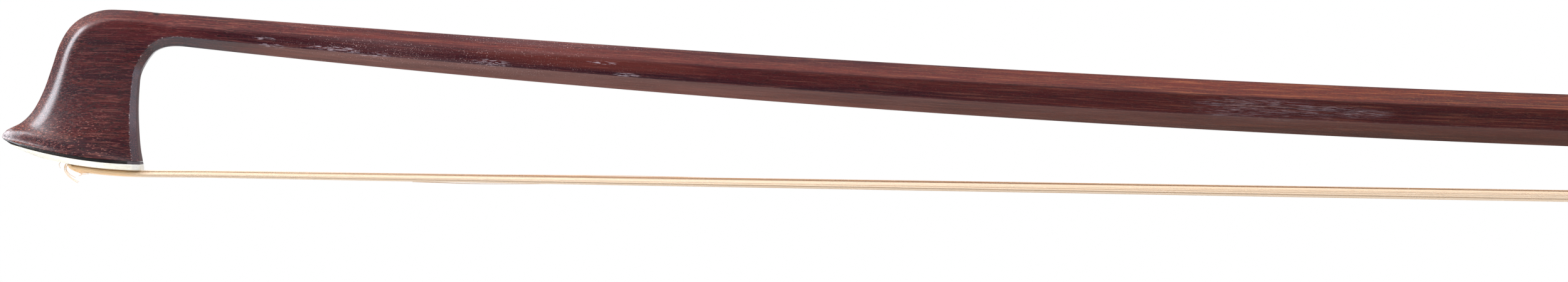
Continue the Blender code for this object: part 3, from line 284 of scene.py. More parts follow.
def loft(name, rows):
    """A closed solid through sections, with the grain and the wear stored on its points."""
    bm = bmesh.new()
    wear_layer = bm.verts.layers.float.new("wear")
    loops = []
    for row in rows:
        loop = []
        for point, wear in section(row):
            vert = bm.verts.new(point)
            vert[wear_layer] = wear
            loop.append(vert)
        loops.append(loop)
    bm.faces.new(loops[0])
    bm.faces.new(loops[-1])
    bridge(bm, loops)
    return to_object(name, bm)


def store_grain(obj):
    mesh = obj.data
    layer = mesh.attributes.new("grain", "FLOAT_VECTOR", "POINT")
    for i, vert in enumerate(mesh.vertices):
        along, up = grain(vert.co.x, vert.co.z)
        layer.data[i].vector = (along, vert.co.y, up)


def tilted(x, y, z, turn):
    """A point turned about the y axis, as from the handle's own directions to the shared frame's."""
    return x * math.cos(turn) - z * math.sin(turn), y, x * math.sin(turn) + z * math.cos(turn)


def box_mesh(low, high, turn=0.0):
    bm = bmesh.new()
    bmesh.ops.create_cube(bm, size=1)
    for vert in bm.verts:
        vert.co = tilted(*(low[k] + (vert.co[k] + 0.5) * (high[k] - low[k]) for k in range(3)), turn)
    return to_object("tool", bm)


def rod_mesh(radius, start, end):
    bm = bmesh.new()
    bmesh.ops.create_cone(bm, cap_ends=True, segments=32, radius1=radius, radius2=radius, depth=end - start)
    for vert in bm.verts:
        vert.co = tilted((start + end) / 2 + vert.co.z, vert.co.y, vert.co.x, TILT)
    return to_object("tool", bm)


def prism(outline, half):
    bm = bmesh.new()
    sides = [[bm.verts.new((x, y, z)) for x, z in outline] for y in (-half, half)]
    bm.faces.new(sides[0])
    bm.faces.new(sides[1][::-1])
    bridge(bm, sides)
    return to_object("tool", bm)


def carve(obj, tool, operation="DIFFERENCE"):
    """Cuts obj with tool for good."""
    modifier = obj.modifiers.new("carve", "BOOLEAN")
    modifier.operation, modifier.solver, modifier.object = operation, "EXACT", tool
    bpy.context.view_layer.update()
    mesh = bpy.data.meshes.new_from_object(obj.evaluated_get(bpy.context.evaluated_depsgraph_get()))
    obj.modifiers.clear()
    obj.data = mesh
    bpy.data.objects.remove(tool)


def face_line(drop):
    """The curved face under the head, or a layer that lies lower by drop."""
    places = [BEFORE_BEAK + (BEHIND_HEAD - BEFORE_BEAK) * k / 40 for k in range(41)]
    return [head_point((s, FACE_REAR + FACE_CURVE * (FACE_END - s) ** 2 - drop)) for s in places]


MORTISE = ((0.0107, HEAD_BELOW), (0.0197, 0.0068), 0.0026)  # low and high place, half-width


def mortise_tool():
    low, high, half = MORTISE
    a, b = head_point(low), head_point(high)
    return box_mesh((a[0], -half, a[1]), (b[0], half, b[1]))


def smooth(obj, degrees=35):
    obj.data.shade_smooth()
    obj.data.set_sharp_from_angle(angle=math.radians(degrees))


NICKS = ((0.0217, -0.0006, 0.0005, 0.00014), (0.0250, -0.0006, 0.0008, 0.00018), (0.0256, -0.0004, 0.0004, 0.00012))


def dent(obj):
    """Small nicks on the ridge behind the crown, and a mask of them for painted shade."""
    nick_shade = obj.data.attributes.new("nick_shade", "FLOAT", "POINT")
    for place, y, radius, depth in NICKS:
        x = place - REACH
        top = max(v.co.z for v in obj.data.vertices if abs(v.co.x - x) < 0.0004)
        for i, vert in enumerate(obj.data.vertices):
            away = math.hypot(vert.co.x - x, (vert.co.y - y) / 1.3, (vert.co.z - top) / 2)
            if away < radius:
                share = (1 - (away / radius) ** 2) ** 1.2
                vert.co.z -= depth * share
                nick_shade.data[i].value = max(nick_shade.data[i].value, share)


def make_stick():
    places = [NECK_PLACE + (HANDLE_START - NECK_PLACE) * k / 190 for k in range(191)]
    end = REACH - BUTTON_LENGTH * math.cos(TILT)
    places += [HANDLE_START + (end - HANDLE_START) * k / 12 for k in range(1, 13)]
    along = [stick_row(place) for place in places]
    join = [stick_row(NECK_PLACE + 0.004)]
    head = refine(head_rows() + along[:1] + join, 14)[:-15]
    stick = loft("stick_wood", head + along)
    dent(stick)
    floor = [head_point((BEHIND_HEAD, HEAD_BELOW)), head_point((BEFORE_BEAK, HEAD_BELOW))]
    carve(stick, prism(face_line(0) + floor, HEAD_SPREAD))
    carve(stick, mortise_tool())
    carve(stick, box_mesh(*FROG_MORTISE, TILT))
    carve(stick, rod_mesh(*SHANK_BORE))
    carve(stick, rod_mesh(*PILOT_BORE))
    carve(stick, rod_mesh(*NIPPLE), "UNION")
    store_grain(stick)
    smooth(stick)
    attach(stick, STICK_SIDE)
    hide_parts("stick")
    return stick


def make_tip_layer(name, node, top, bottom):
    layer = loft(name, refine(head_rows()[: KEEL - CHEEK], 9))
    carve(layer, prism(face_line(top) + face_line(bottom)[::-1], HEAD_SPREAD), "INTERSECT")
    carve(layer, mortise_tool())
    smooth(layer)
    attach(layer, STICK_SIDE)
    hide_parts(node)
    return layer


# Materials


class Nodes:
    """Short calls for the nodes of a tree."""

    def __init__(self, tree):
        self.tree = tree

    def node(self, kind, inputs=None, **settings):
        made = self.tree.nodes.new(kind)
        for key, value in settings.items():
            setattr(made, key, value)
        for key, value in (inputs or {}).items():
            self.put(made.inputs[key], value)
        return made

    def put(self, socket, value):
        if hasattr(value, "is_output"):
            self.tree.links.new(value, socket)
        elif hasattr(value, "outputs"):
            self.tree.links.new(value.outputs[0], socket)
        elif isinstance(value, tuple) and len(value) == 3 and socket.type == "RGBA":
            socket.default_value = (*value, 1)
        else:
            socket.default_value = value

    def place(self, attribute=None):
        if attribute:
            return self.node("ShaderNodeAttribute", attribute_name=attribute).outputs["Vector"]
        return self.node("ShaderNodeTexCoord").outputs["Object"]

    def stored(self, attribute):
        return self.node("ShaderNodeAttribute", attribute_name=attribute).outputs["Fac"]

    def stretch(self, place, scale, shift=(0, 0, 0)):
        return self.node("ShaderNodeMapping", {"Vector": place, "Scale": scale, "Location": shift})

    def cloud(self, at, detail, rough=0.5, distort=0.0):
        inputs = {"Vector": at, "Scale": 1.0, "Detail": detail, "Roughness": rough, "Distortion": distort}
        return self.node("ShaderNodeTexNoise", inputs).outputs["Fac"]

    def noise(self, place, scale, detail, rough, shift=(0, 0, 0), distort=0.0):
        return self.cloud(self.stretch(place, scale, shift), detail, rough, distort)

    def ramp(self, value, low, high, start=0.0, end=1.0, smooth_step=True):
        inputs = {"Value": value, "From Min": low, "From Max": high, "To Min": start, "To Max": end}
        kind = "SMOOTHSTEP" if smooth_step else "LINEAR"
        return self.node("ShaderNodeMapRange", inputs, interpolation_type=kind).outputs["Result"]

    def mix(self, share, a, b, blend="MIX"):
        made = self.node("ShaderNodeMix", data_type="RGBA", blend_type=blend)
        for socket, value in zip((made.inputs[0], made.inputs[6], made.inputs[7]), (share, a, b)):
            self.put(socket, value)
        return made.outputs[2]

    def math(self, operation, a, b=0.0):
        return self.node("ShaderNodeMath", {0: a, 1: b}, operation=operation).outputs[0]

    def times(self, a, b):
        return self.math("MULTIPLY", a, b)

    def plus(self, a, b):
        return self.math("ADD", a, b)

    def most(self, a, b):
        return self.math("MAXIMUM", a, b)

    def part_of(self, vector, axis):
        return self.node("ShaderNodeSeparateXYZ", {"Vector": vector}).outputs[axis]

    def bump(self, height, strength, distance, below=None):
        inputs = {"Height": height, "Strength": strength, "Distance": distance}
        if below:
            inputs["Normal"] = below
        return self.node("ShaderNodeBump", inputs).outputs["Normal"]


class Shader(Nodes):
    """A material and its main shader."""

    def __init__(self, name):
        self.material = bpy.data.materials.new(name)
        self.material.use_nodes = True
        super().__init__(self.material.node_tree)
        self.shader = self.tree.nodes["Principled BSDF"]

    def set(self, **values):
        for key, value in values.items():
            self.put(self.shader.inputs[key.replace("_", " ")], value)


def blob(s, along, up, place, height, half_length, half_height):
    """1 in the middle of a patch on the stick, 0 outside it."""
    across = s.math("DIVIDE", s.math("SUBTRACT", along, place), half_length)
    rise = s.math("DIVIDE", s.math("SUBTRACT", up, height), half_height)
    away = s.plus(s.times(across, across), s.times(rise, rise))
    return s.ramp(away, 1.0, 0.1)


# Marks on the near side: distance along the grain, height in it, half-length and half-height
SCRAPES = ((0.0425, -0.0001, 0.0026, 0.0004), (0.0440, -0.0012, 0.0026, 0.0004), (0.0550, -0.0008, 0.0060, 0.0005),
           (0.0605, -0.0011, 0.0036, 0.0006), (0.0800, -0.0009, 0.0036, 0.0007), (0.0982, 0.0005, 0.0030, 0.0004),
           (0.1020, -0.0012, 0.0026, 0.0004))
RUBBED = ((0.206, -0.0004, 0.0150, 0.0022), (0.219, -0.0002, 0.0090, 0.0012))


def pernambuco():
    s = Shader("pernambuco_worn")
    at = s.place("grain")
    wear = s.stored("wear")
    nick_shade = s.stored("nick_shade")
    along, up = s.part_of(at, 0), s.part_of(at, 2)
    normal = s.node("ShaderNodeNewGeometry").outputs["Normal"]
    facing, upward = s.part_of(normal, 0), s.part_of(normal, 2)
    ended = s.ramp(s.times(facing, -1.0), 0.10, 0.60)
    force = s.ramp(along, 0.024, 0.060, 1.25, 0.62)

    def strong(value, share):
        return s.times(s.times(value, share), force)

    # Bands, lines, fibres, pores and flecks
    broad = s.noise(at, (9, 330, 330), 3, 0.6)
    band = s.noise(at, (30, 1250, 1250), 4, 0.62, (3, 1, 2), 0.4)
    line = s.noise(at, (95, 5200, 5200), 3, 0.6, (7, 5, 1))
    fibre = s.noise(at, (330, 10500, 10500), 2, 0.6, (2, 9, 4))
    dash = s.noise(at, (900, 8200, 8200), 1.5, 0.5, (5, 3, 8))
    fleck = s.noise(at, (1900, 7200, 7200), 1.5, 0.5, (1, 7, 3))

    colour = s.mix(s.ramp(broad, 0.34, 0.64), (0.0260, 0.0034, 0.0088), (0.0580, 0.0072, 0.0100))
    colour = s.mix(strong(s.ramp(band, 0.48, 0.70), 0.62), colour, (0.108, 0.0195, 0.0165))
    colour = s.mix(strong(s.ramp(line, 0.50, 0.68), 0.60), colour, (0.200, 0.0600, 0.0500))
    colour = s.mix(strong(s.ramp(fibre, 0.62, 0.36), 0.45), colour, (0.0075, 0.0022, 0.0034))
    pores = s.ramp(dash, 0.57, 0.66)
    colour = s.mix(strong(pores, 0.70), colour, (0.0060, 0.0020, 0.0030))
    low = s.times(s.ramp(up, -0.011, -0.017), s.ramp(along, 0.021, 0.015, 0, 0.50))
    bright = s.most(s.ramp(ended, 0, 1, 0.12, 0.60), low)
    bright = s.times(s.ramp(fleck, 0.60, 0.70), bright)
    colour = s.mix(strong(bright, 1.0), colour, (0.360, 0.1350, 0.1150))

    # Tone along the stick, painted top light, warm patches, painted reflection under the neck, and rosin with
    # painted sheen
    # Painted light: facets that face upwards are painted lighter, as if lit from above
    colour = s.mix(s.ramp(upward, 0.10, 0.55), colour, (1.68, 1.70, 1.28), "MULTIPLY")
    colour = s.mix(s.ramp(along, 0.06, 0.24), colour, (1.01, 1.18, 0.83), "MULTIPLY")
    # Painted light: upper facets further along the stick are painted lighter still
    painted_top_light = s.times(s.ramp(upward, 0.10, 0.55), s.ramp(along, 0.12, 0.24))
    colour = s.mix(painted_top_light, colour, (1.46, 1.34, 0.98), "MULTIPLY")
    warm = s.times(blob(s, along, up, 0.096, 0.0005, 0.024, 0.0016), 0.35)
    colour = s.mix(warm, colour, (0.165, 0.034, 0.022))
    warm = s.times(blob(s, along, up, 0.0235, 0.0001, 0.0135, 0.0036), 0.20)
    colour = s.mix(warm, colour, (0.140, 0.020, 0.020))
    # Painted reflection: faces under the neck and throat are painted a bluish-grey sheen
    under_neck = s.times(s.ramp(upward, -0.30, -0.65), s.ramp(along, 0.046, 0.030, 0.0, 0.75))
    colour = s.mix(s.times(under_neck, 0.3), colour, (0.060, 0.115, 0.160))
    # Rosin dust and painted sheen: the lower facets are painted paler, most near the head, as rosin dust and as
    # painted light from below
    rosin_and_painted_sheen = s.times(s.ramp(upward, -0.15, -0.60), s.ramp(along, 0.030, 0.050))
    rosin_and_painted_sheen = s.times(rosin_and_painted_sheen, s.ramp(along, 0.045, 0.240, 0.24, 0.07))
    rosin_and_painted_sheen = s.times(rosin_and_painted_sheen, s.ramp(s.noise(at, (60, 900, 900), 3, 0.6, (5, 5, 5)), 0.30, 0.70, 0.7, 1.2))
    colour = s.mix(rosin_and_painted_sheen, colour, (0.54, 0.26, 0.22))

    # Film and dust behind the head
    patch = s.noise(at, (26, 420, 420), 2, 0.5, (4, 4, 4))
    zone = s.times(s.ramp(along, 0.036, 0.060), s.ramp(along, 0.125, 0.090))
    zone = s.most(s.times(zone, s.ramp(patch, 0.40, 0.62, 0.15, 1)), 0.05)
    dust = s.noise(at, (6400, 7400, 7400), 1, 0.5, (8, 2, 6))
    dusty = s.times(s.ramp(dust, 0.655, 0.74), zone)
    film = s.times(s.ramp(patch, 0.45, 0.70), s.times(zone, 0.06))
    colour = s.mix(film, colour, (0.42, 0.28, 0.28))
    colour = s.mix(s.times(dusty, 0.7), colour, (0.62, 0.42, 0.40))

    # Scrapes
    scraped = 0.0
    for scrape in SCRAPES:
        scraped = s.most(scraped, blob(s, along, up, *scrape))
    slant = s.node("ShaderNodeMapping", {"Vector": at, "Scale": (800, 15000, 15000), "Rotation": (0, -0.04, 0)})
    scraped = s.times(scraped, s.ramp(s.cloud(slant, 2.0), 0.55, 0.64))
    colour = s.mix(s.times(scraped, 0.8), colour, (0.58, 0.47, 0.52))

    # The rubbed patch
    slant = s.node("ShaderNodeMapping", {"Vector": at, "Scale": (360, 19000, 19000), "Rotation": (0, -0.16, 0)})
    scratch = s.cloud(slant, 3.0, 0.7)
    rubbed = s.most(*(blob(s, along, up, *rub) for rub in RUBBED))
    rubbed = s.times(rubbed, s.ramp(s.noise(at, (120, 1600, 1600), 2, 0.6, (2, 6, 2)), 0.34, 0.62, 0.3, 1))
    scuffed = s.times(s.ramp(scratch, 0.50, 0.66), rubbed)
    colour = s.mix(s.times(scuffed, 0.65), colour, (0.44, 0.35, 0.38))

    # Worn edges, the beak's end and painted shade in the nicks
    rub = s.noise(at, (1500, 3800, 3800), 3, 0.65, (6, 1, 9))
    edge = s.times(s.ramp(wear, 0.40, 0.92), s.ramp(along, 0.026, 0.036, 1.0, 0.06))
    worn = s.times(s.ramp(rub, 0.52, 0.64), edge)
    colour = s.mix(s.times(worn, 0.75), colour, (0.60, 0.48, 0.48))
    beak = s.times(s.ramp(along, 0.0024, 0.0006), s.ramp(rub, 0.38, 0.55))
    colour = s.mix(s.times(beak, 0.75), colour, (0.46, 0.40, 0.40))
    # Painted shade: the nicks are painted near black
    colour = s.mix(nick_shade, colour, (0.010, 0.006, 0.006))

    # Polish and relief
    rough = s.plus(s.ramp(line, 0.3, 0.7, 0.18, 0.27), s.times(s.most(dusty, scuffed), 0.3))
    rough = s.most(rough, nick_shade)
    played_arris = s.times(s.ramp(wear, 0.05, 0.42), s.ramp(along, 0.018, 0.030))
    rough = s.plus(rough, s.times(played_arris, 0.25))
    height = s.math("SUBTRACT", s.times(line, 0.40), s.times(pores, 0.8))
    height = s.plus(height, s.times(scuffed, 0.5))
    wave = s.noise(at, (40, 200, 200), 1, 0.5)
    soft = s.bump(wave, 0.3, 0.00008)
    s.set(Base_Color=colour, Normal=s.bump(height, 0.5, 0.00002, soft))
    rear_face = s.ramp(facing, 0.80, 0.97)
    rough = s.plus(rough, s.times(rear_face, 0.45))
    throat = s.times(s.ramp(up, -0.0035, -0.0080), s.ramp(along, 0.030, 0.024))
    coat = s.most(s.ramp(along, 0.024, 0.014, 0.03, 1.0), s.most(throat, under_neck))
    coat = s.times(coat, s.ramp(up, -0.0150, -0.0180, 0.60, 0.15))
    coat = s.times(coat, s.math("SUBTRACT", 1.0, rear_face))
    s.set(Roughness=rough, Specular_IOR_Level=0.28, Coat_Weight=coat, Coat_Roughness=0.26)
    return s.material


def ebony(name, sheen_from=None):
    """Black, close-grained and polished. Past sheen_from it is painted grey, a painted sheen, and rougher."""
    s = Shader(name)
    at = s.place()
    line = s.noise(at, (70, 3200, 3200), 4, 0.6)
    dash = s.noise(at, (900, 8000, 8000), 1.5, 0.5, (5, 3, 8))
    colour = s.mix(s.ramp(line, 0.40, 0.70), (0.0075, 0.0065, 0.0070), (0.026, 0.019, 0.016))
    pores = s.ramp(dash, 0.58, 0.68)
    colour = s.mix(s.times(pores, 0.7), colour, (0.003, 0.003, 0.003))
    smear = s.noise(at, (240, 240, 240), 3, 0.6)
    # Painted sheen: past sheen_from the liner is painted grey
    if sheen_from:
        grey = s.ramp(s.part_of(at, 0), sheen_from, sheen_from + 0.0002, 0, 0.85)
        colour = s.mix(grey, colour, (0.085, 0.066, 0.074))
    rough = s.ramp(smear, 0.3, 0.7, 0.18, 0.30)
    if sheen_from:
        rough = s.most(rough, s.times(grey, 0.75))
    s.set(Base_Color=colour, Roughness=rough, Specular_IOR_Level=0.36)
    s.set(Normal=s.bump(s.times(pores, -1.0), 0.4, 0.00002))
    return s.material


def bone():
    s = Shader("bone_plate")
    at = s.place()
    cloud = s.noise(at, (180, 420, 420), 4, 0.6)
    streak = s.noise(at, (500, 5200, 3000), 3, 0.6, (2, 2, 2))
    speck = s.noise(at, (5200, 7000, 7000), 1, 0.5, (9, 3, 3))
    colour = s.mix(s.ramp(cloud, 0.35, 0.70), (0.83, 0.81, 0.72), (0.72, 0.69, 0.56))
    colour = s.mix(s.ramp(streak, 0.54, 0.72, 0, 0.5), colour, (0.60, 0.54, 0.40))
    colour = s.mix(s.ramp(speck, 0.66, 0.75, 0, 0.6), colour, (0.36, 0.28, 0.18))
    s.set(Base_Color=colour, Roughness=s.ramp(cloud, 0.3, 0.7, 0.34, 0.48), Subsurface_Weight=0.12)
    s.shader.inputs["Subsurface Radius"].default_value = (0.6, 0.45, 0.3)
    s.shader.inputs["Subsurface Scale"].default_value = 0.0006
    s.set(Normal=s.bump(s.plus(streak, speck), 0.35, 0.00003))
    return s.material


def maple():
    s = Shader("maple_wedge")
    at = s.place()
    line = s.noise(at, (90, 3000, 3000), 4, 0.6)
    colour = s.mix(s.ramp(line, 0.4, 0.7), (0.52, 0.34, 0.18), (0.30, 0.17, 0.08))
    s.set(Base_Color=colour, Roughness=0.6, Normal=s.bump(line, 0.4, 0.00003))
    return s.material


def horsehair(name, light, dark, tips):
    """Hair: each strand has its own shade, with scales along it and rosin dust."""
    s = Shader(name)
    at = s.place()
    own = s.stored("strand")
    along = s.noise(at, (14, 1500, 1500), 3, 0.6)
    dust = s.noise(at, (2600, 4200, 4200), 1, 0.5, (8, 2, 6))
    colour = s.mix(s.ramp(own, 0.0, 1.0, smooth_step=False), dark, light)
    colour = s.mix(s.ramp(along, 0.38, 0.68, 0, 0.35), colour, tips)
    colour = s.mix(s.ramp(dust, 0.62, 0.74, 0, 0.18), colour, (0.95, 0.92, 0.86))
    # A warmer golden tone near the tip, painted paler as painted light against the shadow of the plate
    near_tip = s.ramp(s.part_of(at, 0), -0.724, -0.719, 0.95, 0.0)
    near_tip = s.times(near_tip, s.ramp(along, 0.62, 0.44, 0.45, 1.0))
    colour = s.mix(near_tip, colour, (1.0, 0.70, 0.40))
    s.set(Base_Color=colour, Roughness=0.32, Specular_IOR_Level=0.5)
    s.set(Normal=s.bump(s.noise(at, (900, 6000, 6000), 2, 0.5), 0.25, 0.00001))
    return s.material


def leather():
    s = Shader("thumb_leather_worn")
    at = s.place()
    cells = {"Vector": at, "Scale": 1500.0, "Randomness": 1.0}
    cells = s.node("ShaderNodeTexVoronoi", cells, feature="DISTANCE_TO_EDGE")
    fold = s.ramp(cells.outputs["Distance"], 0.0, 0.22)
    cloud = s.noise(at, (160, 160, 160), 4, 0.6)
    wear = s.stored("wear")
    colour = s.mix(s.ramp(cloud, 0.35, 0.7), (0.021, 0.012, 0.009), (0.052, 0.028, 0.019))
    # Painted shade: the creases of the grain are painted darker
    colour = s.mix(s.ramp(fold, 0, 1, 0.5, 0), colour, (0.008, 0.005, 0.004))
    colour = s.mix(s.times(wear, s.ramp(cloud, 0.4, 0.6, 0.2, 0.7)), colour, (0.17, 0.095, 0.060))
    s.set(Base_Color=colour, Roughness=s.ramp(cloud, 0.3, 0.7, 0.42, 0.62), Specular_IOR_Level=0.35)
    s.set(Normal=s.bump(fold, 0.6, 0.00007))
    return s.material


def baleen():
    s = Shader("baleen_strip")
    at = s.place("strip")
    fine = s.noise(at, (90, 9, 1), 4, 0.6)
    along = s.noise(at, (3, 14, 1), 3, 0.6, (5, 0, 0))
    edge = s.ramp(s.math("ABSOLUTE", s.math("SUBTRACT", s.part_of(at, 1), 0.5)), 0.36, 0.5)
    colour = s.mix(s.ramp(along, 0.36, 0.66), (0.335, 0.215, 0.105), (0.175, 0.098, 0.045))
    colour = s.mix(s.ramp(fine, 0.45, 0.70, 0, 0.4), colour, (0.45, 0.33, 0.18))
    colour = s.mix(s.times(edge, 0.75), colour, (0.035, 0.022, 0.014))
    s.set(Base_Color=colour, Roughness=s.ramp(fine, 0.3, 0.7, 0.24, 0.4), Coat_Weight=0.2, Coat_Roughness=0.2)
    s.set(Normal=s.bump(fine, 0.3, 0.00004))
    return s.material


def metal(name, colour, dull, rough):
    s = Shader(name)
    at = s.place()
    scratch = s.noise(at, (3000, 500, 500), 3, 0.7)
    hair_line = s.noise(at, (900, 7000, 260), 2, 0.6, (3, 3, 3))
    smear = s.noise(at, (210, 210, 210), 4, 0.6, (1, 5, 2))
    tint = s.mix(s.ramp(smear, 0.46, 0.72, 0, 0.6), colour, dull)
    value = s.plus(s.ramp(smear, 0.3, 0.7, rough, rough + 0.16), s.ramp(hair_line, 0.55, 0.72, 0, 0.12))
    s.set(Base_Color=tint, Metallic=1.0, Roughness=value)
    s.set(Normal=s.bump(s.plus(scratch, hair_line), 0.18, 0.000012))
    return s.material


def nacre():
    s = Shader("mother_of_pearl")
    at = s.place()
    warp = s.node("ShaderNodeTexNoise", {"Vector": s.stretch(at, (160, 300, 300)), "Scale": 1.0, "Detail": 2.0})
    moved = {0: s.stretch(at, (150, 330, 330)), 1: warp.outputs["Color"]}
    moved = s.node("ShaderNodeVectorMath", moved, operation="ADD")
    swirl = s.cloud(moved, 3.0, distort=1.2)
    wave = s.node("ShaderNodeTexWave", {"Vector": moved, "Scale": 1.4, "Distortion": 6.0, "Detail": 2.0})
    wave = wave.outputs["Fac"]
    colour = s.mix(s.ramp(swirl, 0.30, 0.50), (0.84, 0.62, 0.66), (0.66, 0.79, 0.66))
    colour = s.mix(s.ramp(swirl, 0.50, 0.68), colour, (0.50, 0.64, 0.80))
    colour = s.mix(s.ramp(wave, 0.35, 0.75, 0, 0.45), colour, (0.84, 0.84, 0.77))
    s.set(Base_Color=colour, Metallic=0.35, Roughness=s.ramp(wave, 0.2, 0.8, 0.14, 0.26))
    s.set(Coat_Weight=0.6, Coat_Roughness=0.06, Normal=s.bump(swirl, 0.15, 0.00004))
    return s.material


PERNAMBUCO, EBONY, BONE, MAPLE = pernambuco(), ebony("ebony_polished"), bone(), maple()
LINER_EBONY = ebony("ebony_liner", 0.0209 - REACH)
LEATHER, BALEEN, NACRE = leather(), baleen(), nacre()
SILVER = metal("silver_polished", (0.68, 0.67, 0.645), (0.54, 0.515, 0.47), 0.15)
BRASS = metal("brass_turned", (0.76, 0.55, 0.24), (0.50, 0.33, 0.13), 0.22)
STEEL = metal("steel_turned", (0.56, 0.56, 0.58), (0.36, 0.35, 0.34), 0.24)
HAIR = horsehair("horsehair_rosined", (0.87, 0.695, 0.51), (0.50, 0.29, 0.17), (0.80, 0.61, 0.41))
LOOSE_HAIR = horsehair("horsehair_loose", (0.80, 0.66, 0.50), (0.55, 0.33, 0.20), (0.66, 0.40, 0.26))


def finish(obj, material):
    obj.data.materials.clear()
    obj.data.materials.append(material)
    for polygon in obj.data.polygons:
        polygon.material_index = 0


# The free hair

HEEL_SETBACK = 0.0055  # from the end of the wood to the frog's heel
HAIR_SETTLE = 0.012  # length behind the head over which the hair comes level
HAIR_TIP_THICK, HAIR_FROG_THICK, HAIR_BELLY = 0.0011, 0.0009, 0.00092
HAIR_TIP_WIDTH, HAIR_FROG_WIDTH = 0.0068, 0.0114
LEAVE_PLACE = 0.0118  # where the hair leaves the head mortise
DOWN_X = MORTISE[0][0] + GLUE_GAP + HAIR_TIP_THICK / 2
MOUTH = REACH + MOUTH_X
FREE_FROM, FREE_TO = -0.720, -0.080  # between these the strands drift
DARK_FROM = -0.705  # here the outer strands begin to darken
CORE_INSET = 0.00014  # a core, this far inside the band, closes the gaps between strands
OUTER_STRANDS = ((-0.88, 1.14), (-0.80, 1.08))  # just above the band, on the near side


def hair_height(place):
    bottom = FACE_REAR + FACE_CURVE * (FACE_END - min(place, FACE_END)) ** 2 - TIP_LAYERS
    level = min(max((place - FACE_END) / HAIR_SETTLE, 0), 1)
    return (bottom - GLUE_GAP - HAIR_TIP_THICK / 2) * (1 - level * level * (3 - 2 * level))


def frog_point(u, v):
    """x and z of a point that lies u ahead of the frog's heel and v below the stick."""
    x, _, z = tilted(-BUTTON_LENGTH - HEEL_SETBACK - u, 0, -HANDLE_FLATS / 2 - v, TILT)
    return x, z


def hair_path():
    """The band's middle line with its width and thickness, from the knot in the head to the knot in the frog."""
    path = [(*head_point((DOWN_X, 0.0052)), 0.0048, 0.0010), (*head_point((DOWN_X, 0.0036)), 0.0049, 0.0010)]
    leave, turn = hair_height(LEAVE_PLACE), 0.0008
    for k in range(5):
        angle = math.radians(180 + 90 * k / 4)
        place = (DOWN_X + turn + turn * math.cos(angle), leave + turn + turn * math.sin(angle))
        path.append((*head_point(place), 0.0049, 0.0010))
    places = [0.0132 + 0.0016 * k for k in range(14)]
    places += [0.036 + (MOUTH - 0.036) * (k / 26) for k in range(27)]
    for place in places:
        share = max(place - FACE_END, 0) / (MOUTH - FACE_END)
        spread = min((place - LEAVE_PLACE) / (FACE_END - LEAVE_PLACE), 1) ** 0.4
        width = 0.0050 + (HAIR_TIP_WIDTH - 0.0050) * spread + (HAIR_FROG_WIDTH - HAIR_TIP_WIDTH) * share
        thick = HAIR_TIP_THICK + (HAIR_FROG_THICK - HAIR_TIP_THICK) * share + HAIR_BELLY * math.sin(math.pi * share)
        path.append((*head_point((place, hair_height(place))), width, thick))
    for u, v, width in ((0.0464, 0.01835, 0.0113), (0.0376, 0.01835, 0.0100), (0.0340, 0.01645, 0.0100),
                        (0.0240, 0.01645, 0.0100), (0.0150, 0.01640, 0.0100), (0.0140, 0.01560, 0.0100),
                        (0.0140, 0.01200, 0.0100)):
        path.append((*frog_point(u, v), width, 0.0009))
    return path


def direction(path, i):
    """Which way a path of (x, z, ...) runs at its point i."""
    before, after = path[max(i - 1, 0)], path[min(i + 1, len(path) - 1)]
    return Vector((after[0] - before[0], after[1] - before[1])).normalized()


def tube(points, radius, taper=None):
    """Rings of five points round a path."""
    rows = []
    for i, point in enumerate(points):
        before, after = points[max(i - 1, 0)], points[min(i + 1, len(points) - 1)]
        way = (after - before).normalized()
        side = way.cross(Vector((0, 0, 1)))
        if side.length < 0.2:
            side = way.cross(Vector((0, 1, 0)))
        side.normalize()
        up = side.cross(way)
        r = radius * (taper(i / (len(points) - 1)) if taper else 1)
        rows.append([point + (side * math.cos(a) + up * math.sin(a)) * r
                     for a in (2 * math.pi * k / 5 for k in range(5))])
    return rows


def add_tube(bm, layer, rows, value):
    """Adds a closed tube. Its shade is one value, or one for each ring."""
    loops = [[bm.verts.new(p) for p in row] for row in rows]
    for i, loop in enumerate(loops):
        for vert in loop:
            vert[layer] = value[i] if isinstance(value, list) else value
    bridge(bm, loops)
    bm.faces.new(loops[0][::-1])
    bm.faces.new(loops[-1])


def hair_object(name, bm, material):
    made = to_object(name, bm)
    made.data.shade_smooth()
    finish(made, material)
    return made


